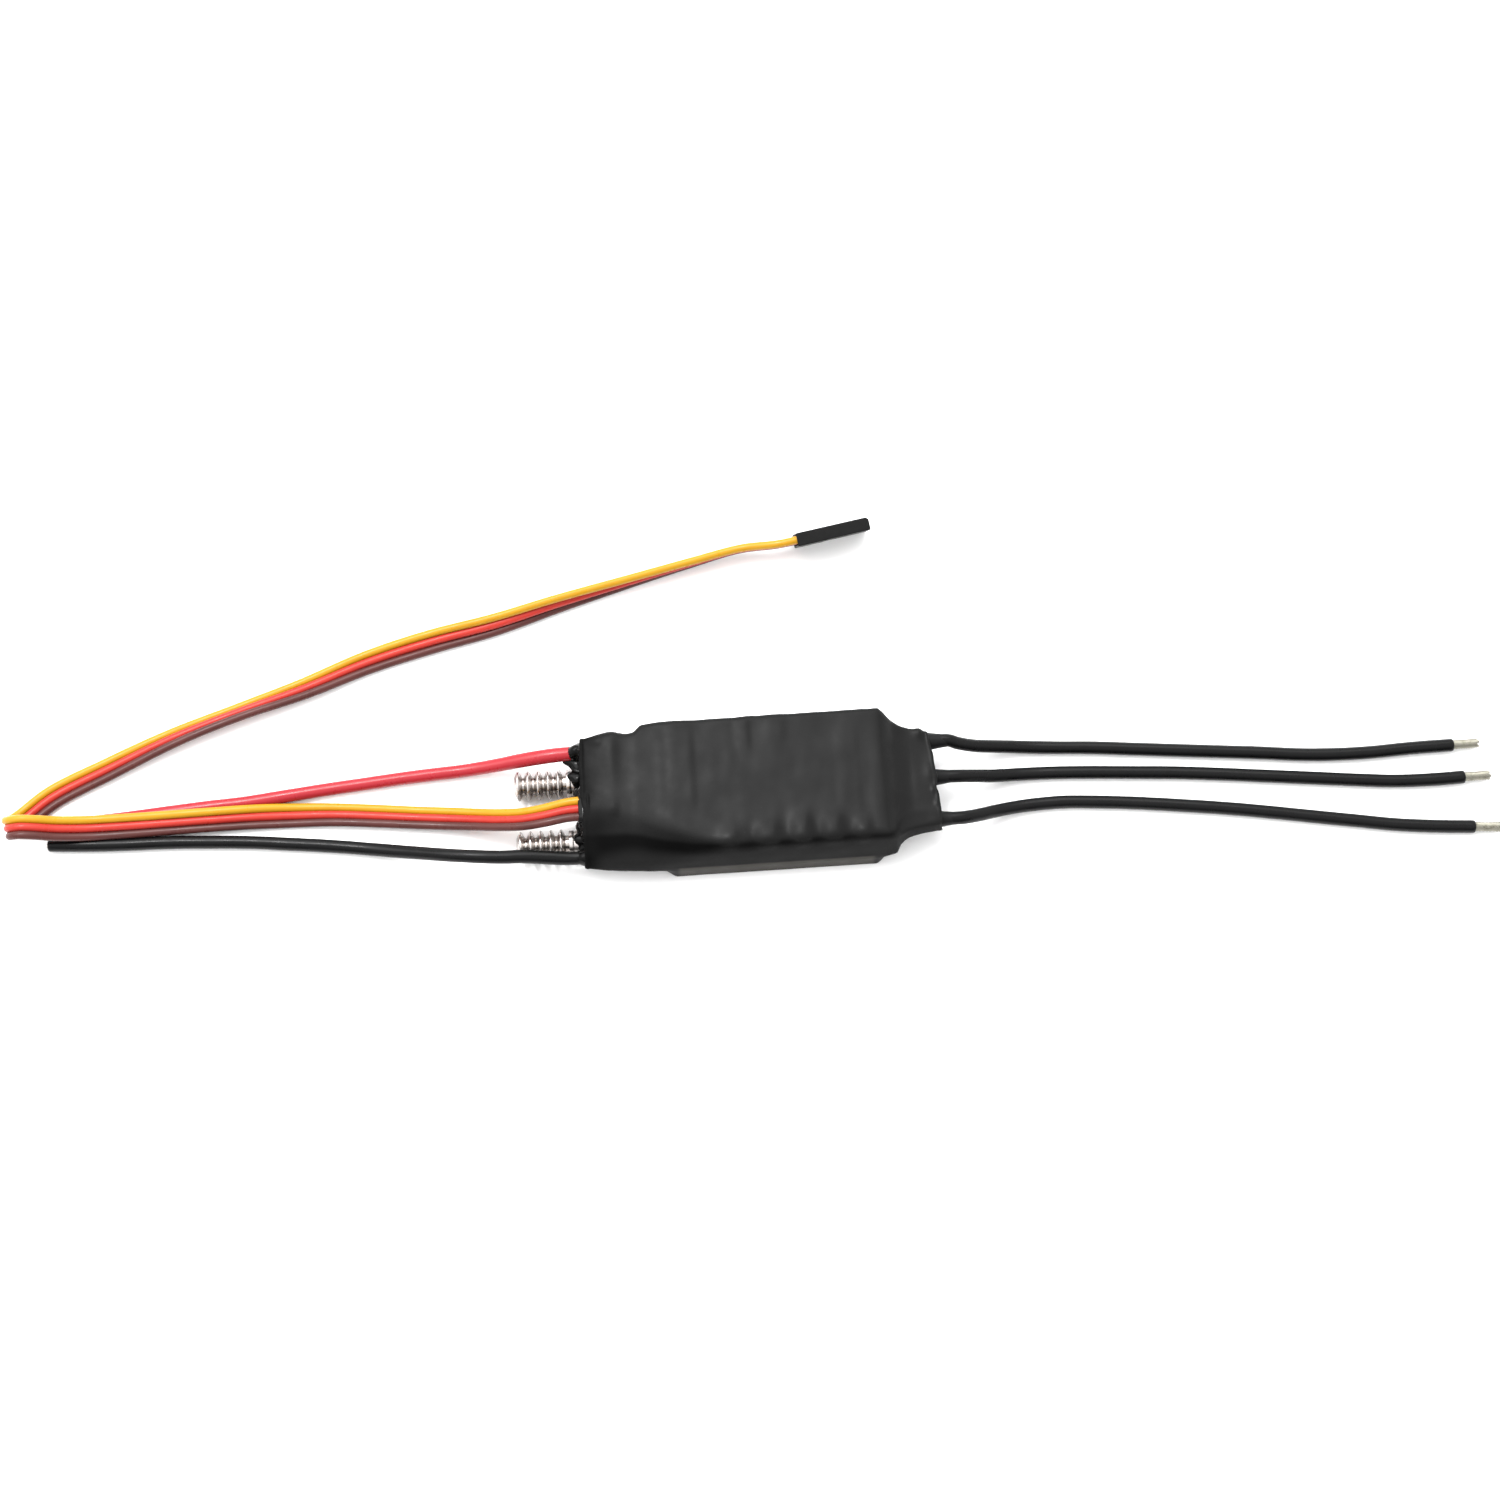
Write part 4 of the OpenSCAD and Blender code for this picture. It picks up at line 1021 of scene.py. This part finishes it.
# Where the parts stand, as in part.scad
CONTROLLER, SHUNT, INDUCTOR = (5, 0.5), (14, -8.5), (-8, 8.4)
DRIVERS = [(16, y) for y in (-6.5, 0.5, 7.5)]
REGULATORS = [(-8, y) for y in (-6.2, 1.2)]
TRANSISTORS = [(x, y) for x in np.arange(-3, 24.1, 5.4) for y in (-8, 0, 8)]
BULK_CAPACITORS = [(-18.2, y) for y in (0.1, 7.6)]
CERAMIC_CAPACITORS = [(x, y) for x in range(3, 19, 3) for y in (-4.5, 8.8)]
RESISTORS = [(x, -7.5) for x in range(0, 13, 3)]


def bar(centre, size, cut=0.04):
    """A block with chamfered edges."""
    x, y, z = np.array(size) / 2
    rings = []
    for at, less in ((-x, cut), (cut - x, 0), (x - cut, 0), (x, cut)):
        a, b, c, e = y - less, z - less, y - less - cut, z - less - cut
        corners = ((a, e), (c, b), (-c, b), (-a, e), (-a, -e), (-c, -b), (c, -b), (a, -e))
        rings += [(at, *corner) for corner in corners]
    return np.array(rings) + centre, grid_faces(4, 8) + [tuple(range(8)), tuple(range(24, 32))]


def leg(x, y, base, way, rise, wide):
    """A bent leg from a chip's side down to its board: shoulder, riser and foot."""
    out, across = np.array([*way, 0.0]), np.array([way[1], way[0], 0.0])
    steps = ((0.18, rise, 0.4, 0.12), (0.4, rise / 2 + 0.03, 0.12, rise + 0.1), (0.62, 0.07, 0.5, 0.12))
    for reach, height, length, tall in steps:
        size = np.abs(out) * length + np.abs(across) * wide + (0, 0, tall)
        yield bar(np.array([x, y, base + height]) + out * reach, size, 0.03)


def end_caps(x, y, base, size, axis, cap):
    """Metal ends on a chip part, a little larger than it."""
    for way in (-1, 1):
        place, grown = [x, y, base + size[2] / 2], [v + 0.06 for v in size]
        place[axis] += way * (size[axis] - cap) / 2
        grown[axis] = cap + 0.06
        yield bar(place, grown)


def make_legs():
    legs = []
    for way in ((1, 0), (-1, 0), (0, 1), (0, -1)):
        for k in range(12):
            s = 0.5 * k - 2.75
            x = CONTROLLER[0] + 3.5 * way[0] + s * abs(way[1])
            y = CONTROLLER[1] + 3.5 * way[1] + s * abs(way[0])
            legs += leg(x, y, CONTROL_TOP, way, 0.45, 0.22)
    for x, y in DRIVERS:
        for k in range(4):
            for side in (-1, 1):
                legs += leg(x + 2 * side, y + PIN_PITCH * k - 1.9, CONTROL_TOP, (side, 0), 0.45, 0.4)
    for x, y in REGULATORS:
        legs.append(bar((x - 3.35, y, BOARD_TOP + 0.2), (0.7, 5.4, 0.3)))
        for k in (-1, 0, 1):
            legs += leg(x + 3.05, y + 2.3 * k, BOARD_TOP, (1, 0), 0.9, 0.7)
    for x, y in TRANSISTORS:
        for k in range(4):
            for side in (-1, 1):
                legs.append(bar((x + PIN_PITCH * k - 1.9, y + 3.0 * side, FET_FOOT), (0.5, 0.5, 0.18)))
    piece("component_legs", *joined(legs), "solder", smooth=False)


def make_end_caps():
    caps = [*end_caps(*SHUNT, BOARD_TOP, (6.4, 3.2, 0.7), 0, 1.1)]
    for place in CERAMIC_CAPACITORS:
        caps += end_caps(*place, BOARD_TOP, (1.6, 3.2, 1.4), 1, 0.55)
    for place in RESISTORS:
        caps += end_caps(*place, CONTROL_TOP, (1.2, 2.0, 0.5), 1, 0.4)
    for x, y in BULK_CAPACITORS:
        caps += [bar((x, y + 3.66 * side, BOARD_TOP + 0.45), (2.4, 0.12, 0.8)) for side in (-1, 1)]
    piece("component_end_caps", *joined(caps), "solder", smooth=False)


def make_inductor():
    drum = [
        (0.05, 0.3), (0, 2.9), (0.1, 3), (0.55, 3), (0.65, 2.9), (0.7, 2.35),
        (2.7, 2.35), (2.75, 2.9), (2.85, 3), (3.3, 3), (3.4, 2.9), (3.35, 0.3),
    ]
    core = piece("inductor_drum", *turned(drum, (*INDUCTOR, BOARD_TOP), 48, upright=True), "ferrite")
    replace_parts(core, "bec_inductor")
    turns, wire_r, reach = np.linspace(0, math.tau * 7, 240), 0.12, 2.5
    x, y = INDUCTOR[0] + reach * np.cos(turns), INDUCTOR[1] + reach * np.sin(turns)
    coil = np.stack([x, y, BOARD_TOP + 0.84 + 0.247 * turns / math.tau], axis=1)
    piece("inductor_winding", *swept(coil, wire_r, count=8), "contact_gold")


make_legs()
make_end_caps()
make_inductor()

# ---- floor and light


def make_floor():
    bpy.ops.mesh.primitive_plane_add(size=60, location=(0, 0, -0.0001))
    floor = bpy.context.object
    floor.name = "floor"
    data = bpy.data.materials.new("floor")
    data.use_nodes = True
    fill_in(data.node_tree.nodes["Principled BSDF"], Base_Color=(0.93, 0.93, 0.93, 1), Roughness=0.9)
    floor.data.materials.append(data)


def make_light(name, place, size, power):
    """A rectangular light aimed at the origin, under the middle of the body."""
    data = bpy.data.lights.new(name, "AREA")
    data.shape, data.size, data.size_y, data.energy = "RECTANGLE", size[0], size[1], power
    aimed(name, data, place, -Vector(place))


def make_world():
    """A bright dome above and behind, darker low down in front."""
    world = bpy.data.worlds.new("world")
    bpy.context.scene.world = world
    world.use_nodes = True
    tree = world.node_tree
    back = tree.nodes["Background"]
    kinds = ("TexCoord", "VectorMath", "ValToRGB", "MapRange")
    place, along, ramp, span = [tree.nodes.new("ShaderNode" + kind) for kind in kinds]
    along.operation = "DOT_PRODUCT"
    along.inputs[1].default_value = (-0.1, 0.7, 0.45)
    fill_in(span, From_Min=-0.6, From_Max=0.15)
    tree.links.new(place.outputs["Generated"], along.inputs[0])
    tree.links.new(along.outputs["Value"], span.inputs["Value"])
    tree.links.new(span.outputs["Result"], ramp.inputs["Fac"])
    tree.links.new(ramp.outputs["Color"], back.inputs["Color"])
    low, high = ramp.color_ramp.elements
    low.position, low.color = 0.0, (0.18, 0.175, 0.17, 1)
    high.position, high.color = 0.9, (1, 1, 1, 1)
    back.inputs["Strength"].default_value = 1.95


make_floor()
make_world()
make_light("key", (-0.3, 0.5, 1.0), (1.7, 0.8), 19.0)
make_light("glint", (-0.24, 0.27, 0.86), (0.14, 0.14), 4.5)
bpy.context.scene.view_settings.view_transform = "Standard"

# ---- parts that keep their CAD mesh

# How far their edges are rounded, if not by 0.05
EDGES = {
    "cooling_block": 0.2, "channel_plug": 0.1, "thermal_pad": 0.12, "power_board": 0.06, "mosfets": 0.08,
    "current_shunt": 0.08, "bulk_capacitors": 0.15, "bec_regulators": 0.12, "ceramic_capacitors": 0.1,
    "control_board": 0.06, "microcontroller": 0.08, "gate_drivers": 0.08, "clock_resonator": 0.12,
    "chip_resistors": 0.05, "solder_joints": 0.15,
}
SLOTS = {row["node"]: row["material_slot"] for row in frame["record"]["subparts"]}
for node_name, node in frame["nodes"].items():
    node.data.materials.clear()
    node.data.materials.append(LOOKS[SLOTS[node_name]].material)
    if node_name in EDGES or node_name.startswith(("board", "servo_plug")):
        edge = node.modifiers.new("edges", "BEVEL")
        edge.width, edge.segments = EDGES.get(node_name, 0.05) * MM, 2
        edge.limit_method, edge.angle_limit = "ANGLE", math.radians(40)
